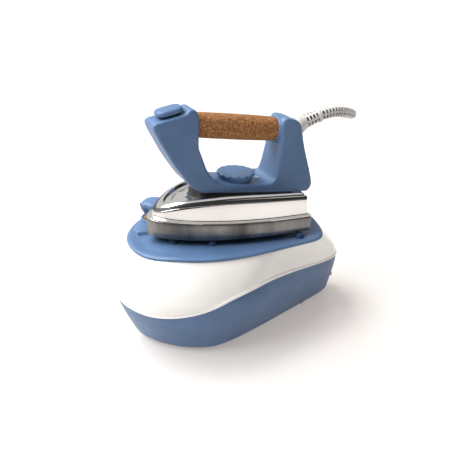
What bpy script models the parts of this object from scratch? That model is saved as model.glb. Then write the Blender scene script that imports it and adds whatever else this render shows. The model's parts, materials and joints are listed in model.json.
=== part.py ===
"""Steam ironing station: boiler base with a steam iron resting on its tray. Metres, +Z up, iron tip at -X."""

import math

import bmesh
import bpy
from mathutils import Matrix, Vector

GAP = 0.0003
STATIONS = 18

# Outlines of the base: nose, widest point, half width, roundness, rear corner, rear bulge.
FLOOR = dict(nose=0.1415, wide_x=-0.0594, half=0.0786, power=1.55, corner_x=0.1588, corner_y=0.022, bulge=0.0145)
BELT = dict(nose=0.1765, wide_x=-0.0401, half=0.1132, power=2.12, corner_x=0.1596, corner_y=0.0497, bulge=0.0159)
RIM = dict(nose=0.1465, wide_x=-0.0150, half=0.0894, power=2.20, corner_x=0.1115, corner_y=0.0790, bulge=0.0206)
BELT_FRONT_Z = 0.098
BELT_REAR_Z = 0.081
RIM_Z = 0.141
BASE_Z = 0.006
WALL = 0.003
# Height of the wavy joint between tub and shell, hand-chosen route points (x, z).
SEAM = ((-0.176, 0.0755), (-0.145, 0.0725), (-0.095, 0.0825), (-0.045, 0.0985),
        (0.010, 0.1035), (0.060, 0.0990), (0.110, 0.0900), (0.176, 0.0790))

TILT = math.radians(2.87)
IRON_X = -0.0144
IRON_Z = 0.1530
SOLE_LENGTH = 0.216
SOLE_HALF = 0.0655
SOLE_FRONT_T = 0.0235
SOLE_REAR_T = 0.0196
GRIP_FRONT = Vector((-0.0440, 0.0, 0.1459))
GRIP_REAR = Vector((0.0788, 0.0, 0.1307))
GRIP_R = 0.0165
ROD_R = 0.0040
BUTTON_SLANT = math.radians(12.0)
BUTTON_AT = Vector((-0.0760, 0.0, 0.1580))
DIAL_X = 0.0208
DIAL_Z = 0.0755
DIAL_R = 0.0263
CAP_X = -0.0935
CAP_Y = 0.0540
CAP_R = 0.0185
DECK_Z = 0.1530
NECK_R = 0.0125
NECK_BORE = 0.0095
BOILER_X = -0.0740
BOILER_Y = 0.0270
BOILER_R = 0.0520
BOILER_LOW = 0.0300
BOILER_MID = 0.0640
BOILER_TOP = 0.1000
HOSE_R = 0.0070
HOSE_EXIT = (0.1085, 0.0, 0.1310)
HOSE_HEADING = Vector((1.0, 0.0, 0.33))
BOOT_LENGTH = 0.0405
COIL_X = 0.1250
COIL_Y = 0.2450
COIL_R = 0.0770
COIL_TOP = 0.0400
ROCKER_SWING = math.radians(14.0)
VALVE_X = 0.0400
VALVE_Y = 0.0200
PANEL_X = 0.1645
PANEL_Z = 0.0480
GLAND_X = 0.0750
GLAND_Z = 0.0450
GLAND_END = 0.1000

COLOURS = {
    "blue_plastic": ((0.20, 0.33, 0.55), 0.45, 0.0),
    "white_plastic": ((0.85, 0.85, 0.84), 0.15, 0.0),
    "black_plastic": ((0.03, 0.03, 0.03), 0.5, 0.0),
    "grey_plastic": ((0.60, 0.61, 0.62), 0.45, 0.0),
    "cork": ((0.42, 0.24, 0.12), 0.85, 0.0),
    "chrome": ((0.80, 0.80, 0.80), 0.08, 1.0),
    "brushed_steel": ((0.45, 0.45, 0.45), 0.32, 1.0),
    "aluminium": ((0.65, 0.65, 0.66), 0.35, 1.0),
    "brass": ((0.70, 0.52, 0.25), 0.30, 1.0),
    "rubber": ((0.05, 0.05, 0.055), 0.8, 0.0),
    "blue_rubber": ((0.10, 0.16, 0.28), 0.7, 0.0),
    "hose_fabric": ((0.80, 0.80, 0.80), 0.7, 0.0),
}


def clear_scene():
    for obj in list(bpy.data.objects):
        bpy.data.objects.remove(obj, do_unlink=True)


def paint(obj, slot):
    colour, roughness, metallic = COLOURS[slot]
    mat = bpy.data.materials.new(obj.name + "_" + slot)
    mat.use_nodes = True
    shader = mat.node_tree.nodes["Principled BSDF"]
    shader.inputs["Base Color"].default_value = (*colour, 1.0)
    shader.inputs["Roughness"].default_value = roughness
    shader.inputs["Metallic"].default_value = metallic
    obj.data.materials.append(mat)


def finish(name, bm, slot, place=None):
    bmesh.ops.remove_doubles(bm, verts=bm.verts, dist=0.00001)
    bmesh.ops.recalc_face_normals(bm, faces=bm.faces)
    mesh = bpy.data.meshes.new(name)
    bm.to_mesh(mesh)
    bm.free()
    obj = bpy.data.objects.new(name, mesh)
    bpy.context.scene.collection.objects.link(obj)
    if place is not None:
        obj.matrix_world = place
    paint(obj, slot)
    return obj


def rings_mesh(rings, closed):
    """Skin through rings of equal count; open stacks get flat ends, closed ones join last to first."""
    bm = bmesh.new()
    loops = [[bm.verts.new(p) for p in ring] for ring in rings]
    pairs = list(zip(loops, loops[1:]))
    if closed:
        pairs.append((loops[-1], loops[0]))
    for low, high in pairs:
        count = len(low)
        for i in range(count):
            j = (i + 1) % count
            bm.faces.new((low[i], low[j], high[j], high[i]))
    if not closed:
        bm.faces.new(loops[0])
        bm.faces.new(loops[-1])
    return bm


def turned(name, profile, slot, place, segments=24, closed=False):
    """Solid of revolution about local Z from (radius, height) points."""
    rings = []
    for radius, height in profile:
        angles = [2 * math.pi * i / segments for i in range(segments)]
        rings.append([(radius * math.cos(a), radius * math.sin(a), height) for a in angles])
    return finish(name, rings_mesh(rings, closed), slot, place)


def tube(name, outer, inner, low, high, slot, place, segments=24):
    profile = [(outer, low), (outer, high), (inner, high), (inner, low)]
    return turned(name, profile, slot, place, segments, closed=True)


def block(name, size, slot, place, bevel=0.0):
    bm = bmesh.new()
    bmesh.ops.create_cube(bm, size=1.0)
    bmesh.ops.scale(bm, vec=size, verts=bm.verts)
    if bevel:
        bmesh.ops.bevel(bm, geom=bm.edges[:], offset=bevel, segments=1, affect="EDGES")
    return finish(name, bm, slot, place)


def carve(obj, cutter, operation="DIFFERENCE"):
    """Apply an exact boolean and drop the tool."""
    mod = obj.modifiers.new(operation.lower(), "BOOLEAN")
    mod.operation = operation
    mod.solver = "EXACT"
    mod.object = cutter
    bpy.context.view_layer.update()
    graph = bpy.context.evaluated_depsgraph_get()
    mesh = bpy.data.meshes.new_from_object(obj.evaluated_get(graph))
    obj.modifiers.remove(mod)
    keep = obj.data.materials[0]
    obj.data = mesh
    mesh.materials.clear()
    mesh.materials.append(keep)
    for face in mesh.polygons:
        face.material_index = 0
    bpy.data.objects.remove(cutter, do_unlink=True)


def move(x, y, z):
    return Matrix.Translation((x, y, z))


def iron_place(x=0.0, y=0.0, z=0.0):
    """Place in the iron's own tilted frame, which starts at the middle of the sole's underside."""
    return move(IRON_X, 0.0, IRON_Z) @ Matrix.Rotation(TILT, 4, "Y") @ move(x, y, z)


def iron_rim_drop(x):
    return -math.tan(TILT) * x


def ease(points, x):
    """Smooth interpolation through (position, value) points."""
    for (x0, v0), (x1, v1) in zip(points, points[1:]):
        if x <= x1:
            t = max(0.0, (x - x0) / (x1 - x0))
            t = t * t * (3 - 2 * t)
            return v0 + (v1 - v0) * t
    return points[-1][1]


def flowing(points, x):
    """Smooth curve through (position, value) points, without a flat spot at each."""
    for i in range(len(points) - 1):
        (x0, z0), (x1, z1) = points[i], points[i + 1]
        if x <= x1 or i == len(points) - 2:
            before = points[max(i - 1, 0)]
            after = points[min(i + 2, len(points) - 1)]
            width = x1 - x0
            start = (z1 - before[1]) / (x1 - before[0]) * width
            end = (after[1] - z0) / (after[0] - x0) * width
            t = min(1.0, max(0.0, (x - x0) / width))
            return (z0 * (2 * t ** 3 - 3 * t ** 2 + 1) + start * (t ** 3 - 2 * t ** 2 + t)
                    + z1 * (3 * t ** 2 - 2 * t ** 3) + end * (t ** 3 - t ** 2))
    return points[-1][1]


def side_line(shape, inset=0.0):
    """Near side of an outline from the nose to the middle of the rear."""
    nose = shape["nose"] - inset
    half = shape["half"] - inset
    wide_x = shape["wide_x"]
    corner_x = shape["corner_x"] - inset * 0.9
    corner_y = shape["corner_y"] - inset * 0.9
    points = []
    for i in range(STATIONS + 1):
        a = math.pi / 2 * i / STATIONS
        x = wide_x - (wide_x + nose) * math.cos(a) ** (2 / shape["power"])
        points.append((x, -half * math.sin(a) ** (2 / shape["power"])))
    soft = 0.15
    for i in range(1, STATIONS // 2 + 1):
        s = i / (STATIONS // 2)
        drop = (math.sqrt(s * s + soft * soft) - soft) / (math.sqrt(1 + soft * soft) - soft)
        points.append((wide_x + (corner_x - wide_x) * s, -(half - (half - corner_y) * drop)))
    for i in range(1, 4):
        t = i / 3
        points.append((corner_x + shape["bulge"] * (1 - (1 - t) ** 2), -corner_y * (1 - t)))
    return points


def whole(points):
    """Mirror a near-side line into a closed ring."""
    return points + [(p[0], -p[1], *p[2:]) for p in points[-2:0:-1]]


def belt_z(x):
    t = (x + BELT["nose"]) / (BELT["nose"] + BELT["corner_x"])
    return BELT_FRONT_Z + (BELT_REAR_Z - BELT_FRONT_Z) * min(1.0, t)


def rim_z(x):
    return RIM_Z + iron_rim_drop(x)


def skin_point(i, t, inset):
    """Point of the base's outer skin at station i: t 0 floor, 1 belt, 2 tray rim."""
    floor = side_line(FLOOR, inset)[i]
    belt = side_line(BELT, inset)[i]
    rim = side_line(RIM, inset)[i]
    if t <= 1.0:
        g = 1 - (1 - t) ** 1.35
        x = floor[0] + (belt[0] - floor[0]) * g
        y = floor[1] + (belt[1] - floor[1]) * g
        return (x, y, t * belt_z(belt[0]))
    k = (t - 1.0) ** 1.55
    x = belt[0] + (rim[0] - belt[0]) * k
    y = belt[1] + (rim[1] - belt[1]) * k
    low = belt_z(belt[0])
    return (x, y, low + (rim_z(rim[0]) - low) * (t - 1.0))


def seam_level(i):
    """Skin parameter where station i meets the wavy joint."""
    low, high = 0.3, 1.9
    for _ in range(24):
        mid = (low + high) / 2
        point = skin_point(i, mid, 0.0)
        if point[2] < flowing(SEAM, point[0]):
            low = mid
        else:
            high = mid
    return low


def skin_ring(share, inset, above, lift=0.0):
    """Ring between floor and seam (above False) or seam and rim (above True)."""
    points = []
    for i in range(len(side_line(FLOOR))):
        seam = seam_level(i)
        start = BASE_Z / belt_z(side_line(BELT)[i][0])
        if above:
            t = seam + (2.0 - seam) * share
        else:
            t = start + (seam - start) * share
        x, y, z = skin_point(i, t, inset)
        if not above and share == 0.0:
            z = BASE_Z
        points.append((x, y, z + lift))
    return whole(points)


def flat_ring(shape, inset, level):
    """Closed ring of an outline at a constant height, or in the tray's tilted plane."""
    return whole([(x, y, level(x)) for x, y in side_line(shape, inset)])


def lower_tub():
    rings = [skin_ring(0.0, 0.002, False)]
    rings += [skin_ring(s, 0.0, False, lift=0.0) for s in (0.06, 0.4, 0.75, 1.0)]
    rings += [skin_ring(s, WALL, False, lift=0.0) for s in (1.0, 0.6)]
    rings.append([(x, y, BASE_Z + WALL) for x, y, z in skin_ring(0.06, WALL, False)])
    return finish("lower_tub", rings_mesh(rings, False), "blue_plastic")


def upper_shell():
    rings = [skin_ring(0.0, 0.0, True, lift=GAP)]
    rings.append([(x * 1.004, y * 1.006, z + 0.0004) for x, y, z in rings[0]])
    rings += [skin_ring(s, 0.0, True) for s in (0.08, 0.3, 0.55, 0.8)]
    rings.append(flat_ring(RIM, 0.0, lambda x: rim_z(x) - GAP))
    rings.append(flat_ring(RIM, 0.0036, lambda x: rim_z(x) - GAP))
    rings.append(flat_ring(RIM, 0.0036, lambda x: rim_z(x) - GAP - WALL))
    rings += [skin_ring(s, WALL, True) for s in (0.7, 0.35)]
    rings.append(skin_ring(0.0, WALL, True, lift=GAP))
    return finish("upper_shell", rings_mesh(rings, True), "white_plastic")


def tray_deck():
    """Raised corner of the tray that carries the filler neck."""
    outline = [(-0.128, 0.022), (-0.070, 0.032), (-0.058, 0.060), (-0.064, 0.0755),
               (-0.085, 0.0735), (-0.106, 0.0665), (-0.122, 0.054), (-0.131, 0.036)]
    rings = []
    for grow, level in ((0.003, None), (0.0, DECK_Z - 0.002), (-0.002, DECK_Z)):
        ring = []
        for x, y in outline:
            away = Vector((x + 0.095, y - 0.052, 0.0)).normalized() * grow
            ring.append((x + away.x, y + away.y, level or rim_z(x) + 0.0012))
        rings.append(ring)
    return finish("tray_deck", rings_mesh(rings, False), "blue_plastic")


def rest_tray():
    steps = ((-0.0005, 0.0), (-0.0012, 0.0020), (0.0004, 0.0048), (0.0028, 0.0062),
             (0.0058, 0.0060), (0.0085, 0.0040), (0.0100, 0.0026))
    rings = [flat_ring(RIM, 0.002, lambda x: rim_z(x))]
    for inset, rise in steps:
        rings.append(flat_ring(RIM, inset, lambda x, r=rise: rim_z(x) + r))
    tray = finish("rest_tray", rings_mesh(rings, False), "blue_plastic")
    carve(tray, tray_deck(), "UNION")
    hole = turned("neck_hole", [(NECK_R + GAP, 0.12), (NECK_R + GAP, 0.17)], "blue_plastic", move(CAP_X, CAP_Y, 0.0))
    carve(tray, hole)
    return tray


def tray_pads():
    """Rubber pads that hold the sole off the tray, and two more under its rear corners."""
    made = []
    tilt = Matrix.Rotation(TILT, 4, "Y")
    spots = (("front", -0.092, 0.020), ("mid", -0.045, 0.043), ("rear", 0.060, 0.043))
    for label, x, y in spots:
        for side, sign in (("near", -1), ("far", 1)):
            floor = rim_z(x) + 0.0026 + GAP
            top = IRON_Z - math.tan(TILT) * (x - IRON_X) - floor - GAP
            place = move(x, sign * y, floor) @ tilt
            profile = [(0.0062, 0.0002), (0.0058, 0.0032), (0.0040, top * 0.6), (0.0040, top - 0.0003)]
            made.append(turned("pad_" + label + "_" + side, profile, "blue_rubber", place, 10))
    for side, sign in (("near", -1), ("far", 1)):
        place = move(0.078, sign * 0.0655, rim_z(0.080) + 0.0026 + GAP) @ tilt
        profile = [(0.0066, 0.0004), (0.0062, 0.0030), (0.0050, 0.0062), (0.0040, 0.0071)]
        made.append(turned("side_stop_" + side, profile, "blue_rubber", place, 10))
    return made


def feet():
    spots = (("front_near", -0.092, -0.040), ("front_far", -0.092, 0.040),
             ("rear_near", 0.110, -0.024), ("rear_far", 0.110, 0.024))
    for label, x, y in spots:
        profile = [(0.0075, 0.0), (0.0090, 0.0015), (0.0090, BASE_Z - GAP)]
        turned("foot_" + label, profile, "rubber", move(x, y, 0.0), 12)


def boiler():
    place = move(BOILER_X, BOILER_Y, 0.0)
    shell = 0.0015
    low = [(0.012, BOILER_LOW), (BOILER_R - 0.014, BOILER_LOW + 0.001), (BOILER_R - 0.003, BOILER_LOW + 0.010),
           (BOILER_R, BOILER_LOW + 0.018), (BOILER_R, BOILER_MID)]
    inner = [(max(0.012, r - shell), z + (shell if r < BOILER_R else 0.0)) for r, z in reversed(low)]
    turned("boiler_lower", low + inner, "brushed_steel", place, 24)
    high = [(BOILER_R, BOILER_MID + GAP), (BOILER_R, BOILER_TOP - 0.009), (BOILER_R - 0.0013, BOILER_TOP - 0.003),
            (BOILER_R - 0.0040, BOILER_TOP), (0.012, BOILER_TOP)]
    inner = [(max(0.012, r - shell), z - (shell if r < BOILER_R else 0.0)) for r, z in reversed(high)]
    upper = turned("boiler_upper", high + inner, "brushed_steel", place, 24)
    bore = turned("neck_bore", [(NECK_R + GAP, 0.07), (NECK_R + GAP, 0.12)], "brushed_steel", move(CAP_X, CAP_Y, 0.0))
    carve(upper, bore)


def ring_bar(name, ring_r, bar_r, slot, place, segments=20, around=6):
    rings = []
    for i in range(around):
        a = 2 * math.pi * i / around
        radius = ring_r + bar_r * math.cos(a)
        rings.append([(radius * math.cos(2 * math.pi * k / segments), radius * math.sin(2 * math.pi * k / segments),
                       bar_r * math.sin(a)) for k in range(segments)])
    return finish(name, rings_mesh(rings, True), slot, place)


def filler():
    place = move(CAP_X, CAP_Y, 0.0)
    collar = DECK_Z + GAP
    profile = [(NECK_R, 0.0945), (NECK_R, collar), (0.0155, collar), (0.0155, collar + 0.0025),
               (0.0120, collar + 0.0025), (0.0120, collar + 0.0120), (NECK_BORE, collar + 0.0120), (NECK_BORE, 0.0945)]
    turned("filler_neck", profile, "brass", place, 24, closed=True)
    plug = collar + 0.0120 + GAP
    profile = [(0.0088, plug - 0.012), (0.0088, plug), (0.0125, plug), (0.0125, plug + 0.0020), (0.0005, plug + 0.0020)]
    bottom = [(0.0005, plug - 0.012)]
    turned("cap_seal", bottom + profile, "rubber", place, 16)
    return plug + 0.0020


def filler_cap(seal_top):
    """Lobed screw knob: skirt around the neck, four scooped finger dimples under a domed top."""
    low = DECK_Z + 0.0040
    segments = 32
    rings = []
    top = seal_top + 0.0145
    levels = ((0.0150, low, 0.0), (0.0150, low + 0.0080, 0.0), (0.0172, low + 0.0110, 0.35),
              (CAP_R, low + 0.0160, 1.0), (CAP_R, top - 0.0070, 1.0), (0.0172, top - 0.0030, 0.7),
              (0.0120, top - 0.0006, 0.2), (0.0040, top, 0.0))
    for radius, height, lobed in levels:
        ring = []
        for i in range(segments):
            a = 2 * math.pi * i / segments
            scoop = 0.0032 * lobed * max(0.0, math.cos(4 * a)) ** 2
            ring.append(((radius - scoop) * math.cos(a), (radius - scoop) * math.sin(a), height))
        rings.append(ring)
    inner = ((0.0130, seal_top + GAP), (0.0130, low))
    for radius, height in inner:
        rings.append([(radius * math.cos(2 * math.pi * i / segments), radius * math.sin(2 * math.pi * i / segments),
                       height) for i in range(segments)])
    outer, pocket = rings[:8], rings[8:]
    bm = rings_mesh([pocket[0], pocket[1]] + outer, False)
    finish("filler_cap", bm, "blue_plastic", move(CAP_X, CAP_Y, 0.0))


def base_fittings():
    ring_bar("base_heating_element", 0.030, 0.0035, "brushed_steel", move(BOILER_X, BOILER_Y, BOILER_LOW - 0.0042))
    turned("boiler_thermostat", [(0.0115, 0.0), (0.0115, 0.0100), (0.0080, 0.0104)], "black_plastic",
           move(BOILER_X, BOILER_Y, BOILER_LOW - 0.0110), 14)
    block("thermal_fuse", (0.012, 0.008, 0.006), "aluminium", move(-0.008, VALVE_Y, 0.0700), 0.001)
    block("solenoid_valve", (0.024, 0.020, 0.020), "brass", move(VALVE_X, VALVE_Y, 0.0350), 0.002)
    tube("solenoid_coil", 0.0120, 0.0045, 0.0, 0.024, "black_plastic", move(VALVE_X, VALVE_Y, 0.0455), 14)
    turned("solenoid_core", [(0.0042, 0.0), (0.0042, 0.028)], "brushed_steel", move(VALVE_X, VALVE_Y, 0.0453), 10)
    turn = Matrix.Rotation(math.pi / 2, 4, "Y")
    turned("valve_pipe", [(0.0030, 0.0), (0.0030, 0.0544)], "brass", move(-0.0270, VALVE_Y, 0.0350) @ turn, 10)
    block("pressure_switch", (0.018, 0.018, 0.012), "grey_plastic", move(-0.060, 0.010, BOILER_TOP + 0.0065), 0.001)
    block("terminal_block", (0.030, 0.014, 0.014), "white_plastic", move(0.085, -0.010, 0.0165), 0.001)


def rear_panel_parts():
    """Plate on the rear wall with two rockers, a ready lamp and the cord and hose inlets."""
    x = PANEL_X
    centre_z = PANEL_Z
    panel = block("rear_panel", (0.0060, 0.0520, 0.0300), "grey_plastic", move(x, 0.0, centre_z), 0.001)
    for label, y in (("main", -0.0165), ("boiler", 0.0015)):
        carve(panel, block("slot_" + label, (0.02, 0.0126, 0.0196), "grey_plastic", move(x, y, centre_z)))
    lamp_hole = turned("lamp_hole", [(0.0043, -0.02), (0.0043, 0.02)], "grey_plastic",
                       move(x, 0.0170, centre_z) @ Matrix.Rotation(math.pi / 2, 4, "Y"), 12)
    carve(panel, lamp_hole)
    for label, y in (("main", -0.0165), ("boiler", 0.0015)):
        rocker("rocker_" + label, move(x, y, centre_z) @ Matrix.Rotation(-ROCKER_SWING / 2, 4, "Y"))
    turned("ready_lamp", [(0.0040, -0.0029), (0.0040, 0.0034), (0.0024, 0.0046)], "chrome",
           move(x, 0.0170, centre_z) @ Matrix.Rotation(math.pi / 2, 4, "Y"), 12)


def rocker(name, place):
    """Rocker that pivots about Y: a shallow V face with its on end pressed in."""
    outline = [(-0.0024, -0.0090), (0.0042, -0.0092), (0.0028, 0.0), (0.0042, 0.0092), (-0.0024, 0.0090)]
    rings = [[(x, y, z) for x, z in outline] for y in (-0.0060, 0.0060)]
    finish(name, rings_mesh(rings, False), "black_plastic", place)


def panel_opening():
    return block("panel_opening", (0.060, 0.0526, 0.0306), "blue_plastic", move(PANEL_X + 0.0060, 0.0, PANEL_Z))


def glands(tub):
    turn = Matrix.Rotation(math.pi / 2, 4, "Y")
    back = move(0.1600, 0.0, 0.0205) @ turn
    carve(tub, turned("gland_hole", [(0.0063, -0.03), (0.0063, 0.03)], "blue_plastic", back, 12))
    tube("mains_gland", 0.0060, 0.0036, -0.0080, 0.0120, "rubber", back, 12)
    side = move(GLAND_X, 0.0, GLAND_Z) @ Matrix.Rotation(-math.pi / 2, 4, "X")
    carve(tub, turned("hose_hole", [(0.0087, 0.04), (0.0087, 0.11)], "blue_plastic", side, 14))
    profile = [(0.0084, 0.0580), (0.0084, 0.0737), (0.0115, 0.0740), (0.0115, 0.0775), (0.0095, 0.0780)]
    turned("hose_gland", profile + [(0.0082, GLAND_END)], "grey_plastic", side, 16)


def sole_line(inset=0.0, count=14):
    """Near side of the sole outline, tip to rear corner."""
    points = []
    round_length = 0.190
    length = SOLE_LENGTH - inset * 2.6
    for i in range(count + 1):
        u = round_length * (i / count) ** 1.5
        m = 1 - u / round_length
        half = (SOLE_HALF - inset) * (1 - m * m) ** 0.60
        x = -SOLE_LENGTH / 2 + inset * 1.6 + u * (length / SOLE_LENGTH)
        points.append((x, -half))
    rear = SOLE_LENGTH / 2 + 0.0030 - inset
    half = SOLE_HALF - inset
    points += [(rear - 0.016, -half), (rear - 0.008, -half), (rear - 0.002, -half + 0.003), (rear, -half + 0.009)]
    points += [(rear, -min(y, (half - 0.009) * share)) for y, share in ((0.0385, 0.97), (0.0305, 0.80), (0.0, 0.0))]
    return points


def sole_ring(inset, level):
    return whole([(x, y, level(x)) for x, y in sole_line(inset)])


def bead_ring(inset, drop):
    """Ring at the height of the cover's bead, which dips behind the handle's rear post."""
    points = []
    for x, y in sole_line(inset):
        beside = ease(((0.0305, 0.0), (0.0380, 1.0)), max(0.0305, abs(y))) if x > 0.080 else 1.0
        points.append((x, y, cover_top(x) + (bead_top(x) - cover_top(x)) * beside - drop))
    return whole(points)


def sole_top(x):
    return SOLE_FRONT_T + (SOLE_REAR_T - SOLE_FRONT_T) * (x + SOLE_LENGTH / 2) / SOLE_LENGTH


def soleplate():
    rings = [sole_ring(0.0016, lambda x: 0.0), sole_ring(0.0, lambda x: 0.0016)]
    rings += [sole_ring(0.0, lambda x: sole_top(x) - 0.0010), sole_ring(0.0010, sole_top)]
    plate = finish("soleplate", rings_mesh(rings, False), "brushed_steel", iron_place())
    for i in range(5):
        x = -0.072 + 0.018 * i
        for sign in (-1, 1):
            spread = sign * (0.010 + 0.006 * i)
            hole = turned("vent", [(0.0022, -0.01), (0.0022, 0.03)], "brushed_steel", iron_place(x, spread, 0.0), 6)
            carve(plate, hole)


COVER_TOP = ((-0.108, 0.0300), (-0.090, 0.0385), (-0.060, 0.0475), (-0.025, 0.0503), (0.108, 0.0430))
BEAD_TOP = ((-0.108, 0.0300), (-0.094, 0.0385), (-0.075, 0.0482), (-0.050, 0.0545), (-0.005, 0.0585), (0.055, 0.0568),
            (0.113, 0.0522))


def cover_top(x):
    return ease(COVER_TOP, x)


def bead_top(x):
    return flowing(BEAD_TOP, x)


def iron_cover():
    base = lambda x: sole_top(x) + GAP
    flange = lambda x: sole_top(x) + 0.0030
    rings = [sole_ring(0.0015, base), sole_ring(0.0010, flange), sole_ring(0.0035, lambda x: flange(x) + 0.0006)]
    rings.append(bead_ring(0.0058, 0.0060))
    rings.append(bead_ring(0.0078, 0.0020))
    rings.append(bead_ring(0.0105, 0.0))
    rings.append(bead_ring(0.0140, 0.0008))
    rings.append(sole_ring(0.0200, cover_top))
    rings.append(sole_ring(0.0204, lambda x: cover_top(x) - 0.0014))
    rings.append(bead_ring(0.0150, 0.0030))
    rings.append(bead_ring(0.0098, 0.0036))
    rings.append(sole_ring(0.0078, lambda x: flange(x) + (cover_top(x) - flange(x)) * 0.55))
    rings.append(sole_ring(0.0035, base))
    return finish("iron_cover", rings_mesh(rings, True), "chrome", iron_place())


def slab_under(x):
    return 0.0606 - 0.1055 * (x + 0.045)


def thermal_spacer():
    """Black insulating foot between cover and handle, a wedge that thins toward the rear."""
    rings = []
    for inset, share in ((0.0, 0.0), (0.0, 0.9), (0.001, 1.0)):
        ring = []
        for x, y in ((-0.044, -0.010), (-0.030, -0.022), (0.098, -0.026), (0.103, -0.020)):
            x -= math.copysign(inset, x)
            y += inset
            low = 0.0514 if x < 0.0 else 0.0444
            ring.append((x, y, low + (slab_under(x) - GAP - low) * share))
        rings.append(ring + [(x, -y, z) for x, y, z in reversed(ring)])
    spacer = finish("thermal_spacer", rings_mesh(rings, False), "black_plastic", iron_place())
    carve(spacer, turned("spindle_gap", [(0.0045, 0.03), (0.0045, 0.08)], "black_plastic", iron_place(DIAL_X), 12))


def cover_plug():
    """Lid that closes the top opening of the chrome cover and carries the handle screws."""
    rings = []
    for inset, drop in ((0.0212, 0.0022), (0.0212, 0.0004)):
        rings.append(sole_ring(inset, lambda x, d=drop: cover_top(x) - d))
    plate = finish("cover_plate", rings_mesh(rings, False), "aluminium", iron_place())
    hole = turned("spindle_gap", [(0.0036, 0.03), (0.0036, 0.06)], "aluminium", iron_place(DIAL_X, 0.0, 0.0), 10)
    carve(plate, hole)


def iron_inside():
    rings = [sole_ring(0.016, lambda x: sole_top(x) + GAP), sole_ring(0.016, lambda x: sole_top(x) + 0.004)]
    finish("chamber_lid", rings_mesh(rings, False), "aluminium", iron_place())
    turned("iron_thermostat", [(0.0110, 0.0), (0.0110, 0.0080), (0.0060, 0.0090)], "brass",
           iron_place(DIAL_X, 0.0, sole_top(DIAL_X) + 0.0048), 14)
    block("steam_inlet", (0.016, 0.012, 0.010), "brass", iron_place(0.070, 0.0, sole_top(0.05) + 0.0095), 0.001)


FRONT_POST = ((-0.0400, 0.0604), (-0.0560, 0.0710), (-0.0690, 0.0880), (-0.0812, 0.1060), (-0.0905, 0.1224),
              (-0.0996, 0.1387), (-0.1040, 0.1500), (-0.1025, 0.1545), (-0.0960, 0.1560), (-0.0575, 0.1640),
              (-0.0560, 0.1690), (-0.0515, 0.1700), (-0.0449, 0.1664), (-0.0425, 0.1600))
FRONT_INNER = ((-0.0435, 0.1352), (-0.0432, 0.1192), (-0.0402, 0.1109), (-0.0372, 0.1025), (-0.0341, 0.0939),
               (-0.0296, 0.0851), (-0.0220, 0.0758), (-0.0100, 0.0695), (0.0300, 0.0645))
REAR_INNER = ((0.0580, 0.0608), (0.0670, 0.0632), (0.0715, 0.0700), (0.0745, 0.0860), (0.0772, 0.1078),
              (0.0790, 0.1250), (0.0800, 0.1400))
REAR_OUTER = ((0.0820, 0.1480), (0.0870, 0.1490), (0.0985, 0.1465), (0.1065, 0.1415), (0.1103, 0.1318),
              (0.1138, 0.1144), (0.1185, 0.0965), (0.1241, 0.0782), (0.1292, 0.0590), (0.1280, 0.0500),
              (0.1225, 0.0442))


def handle_half_width(z):
    return 0.0290 - 0.105 * (z - 0.055)


def handle_body():
    """One moulded loop: front post, slab and rear post, with bores for rod, spindle and button."""
    outline = list(FRONT_POST + FRONT_INNER + REAR_INNER + REAR_OUTER)
    outline.append((0.0300, slab_under(0.0300)))
    bm = bmesh.new()
    near = [bm.verts.new((x, -handle_half_width(z), z)) for x, z in outline]
    far = [bm.verts.new((x, handle_half_width(z), z)) for x, z in outline]
    sides = [bm.faces.new(near), bm.faces.new(far)]
    edges = [e for face in sides for e in face.edges]
    for i in range(len(outline)):
        j = (i + 1) % len(outline)
        bm.faces.new((near[i], near[j], far[j], far[i]))
    bmesh.ops.bevel(bm, geom=edges, offset=0.0045, segments=2, profile=0.5, affect="EDGES")
    body = finish("handle_body", bm, "blue_plastic", iron_place())
    axis = GRIP_REAR - GRIP_FRONT
    along = axis.to_track_quat("Z", "Y").to_matrix().to_4x4()
    bore = turned("rod_bore", [(ROD_R + GAP, -0.010), (ROD_R + GAP, axis.length + 0.010)], "blue_plastic",
                  iron_place() @ Matrix.Translation(GRIP_FRONT) @ along, 12)
    carve(body, bore)
    spindle = turned("spindle_bore", [(0.0045, 0.03), (0.0045, 0.09)], "blue_plastic", iron_place(DIAL_X, 0.0, 0.0), 12)
    carve(body, spindle)
    slant = Matrix.Rotation(-BUTTON_SLANT, 4, "Y")
    pocket = block("button_pocket", (0.0306, 0.0156, 0.0160), "blue_plastic",
                   iron_place() @ Matrix.Translation(BUTTON_AT) @ slant)
    carve(body, pocket)
    socket = turned("hose_socket", [(0.0083, -0.014), (0.0083, 0.03)], "blue_plastic", hose_exit(), 16)
    carve(body, socket)


def steam_button():
    """Lozenge cap on a stem that slides in the post's pocket, with its return spring and microswitch below."""
    slant = Matrix.Rotation(-BUTTON_SLANT, 4, "Y")
    place = iron_place() @ Matrix.Translation(BUTTON_AT) @ slant
    rings = []
    count = 20
    levels = ((0.0143, 0.0070, 0.0002), (0.0143, 0.0070, 0.0048), (0.0172, 0.0128, 0.0056), (0.0180, 0.0135, 0.0082),
              (0.0168, 0.0122, 0.0110), (0.0130, 0.0085, 0.0122))
    for half_x, half_y, height in levels:
        ring = []
        for i in range(count):
            a = 2 * math.pi * i / count
            c, s = math.cos(a), math.sin(a)
            ring.append((half_x * math.copysign(abs(c) ** 0.6, c), half_y * math.copysign(abs(s) ** 0.7, s), height))
        rings.append(ring)
    finish("steam_button", rings_mesh(rings, False), "blue_plastic", place)
    tube("button_spring", 0.0032, 0.0018, -0.0043, -0.0002, "brushed_steel", place @ move(-0.007, 0.0, 0.0), 10)
    block("microswitch", (0.0100, 0.0060, 0.0040), "black_plastic", place @ move(0.0060, 0.0, -0.0057), 0.0004)


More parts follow.
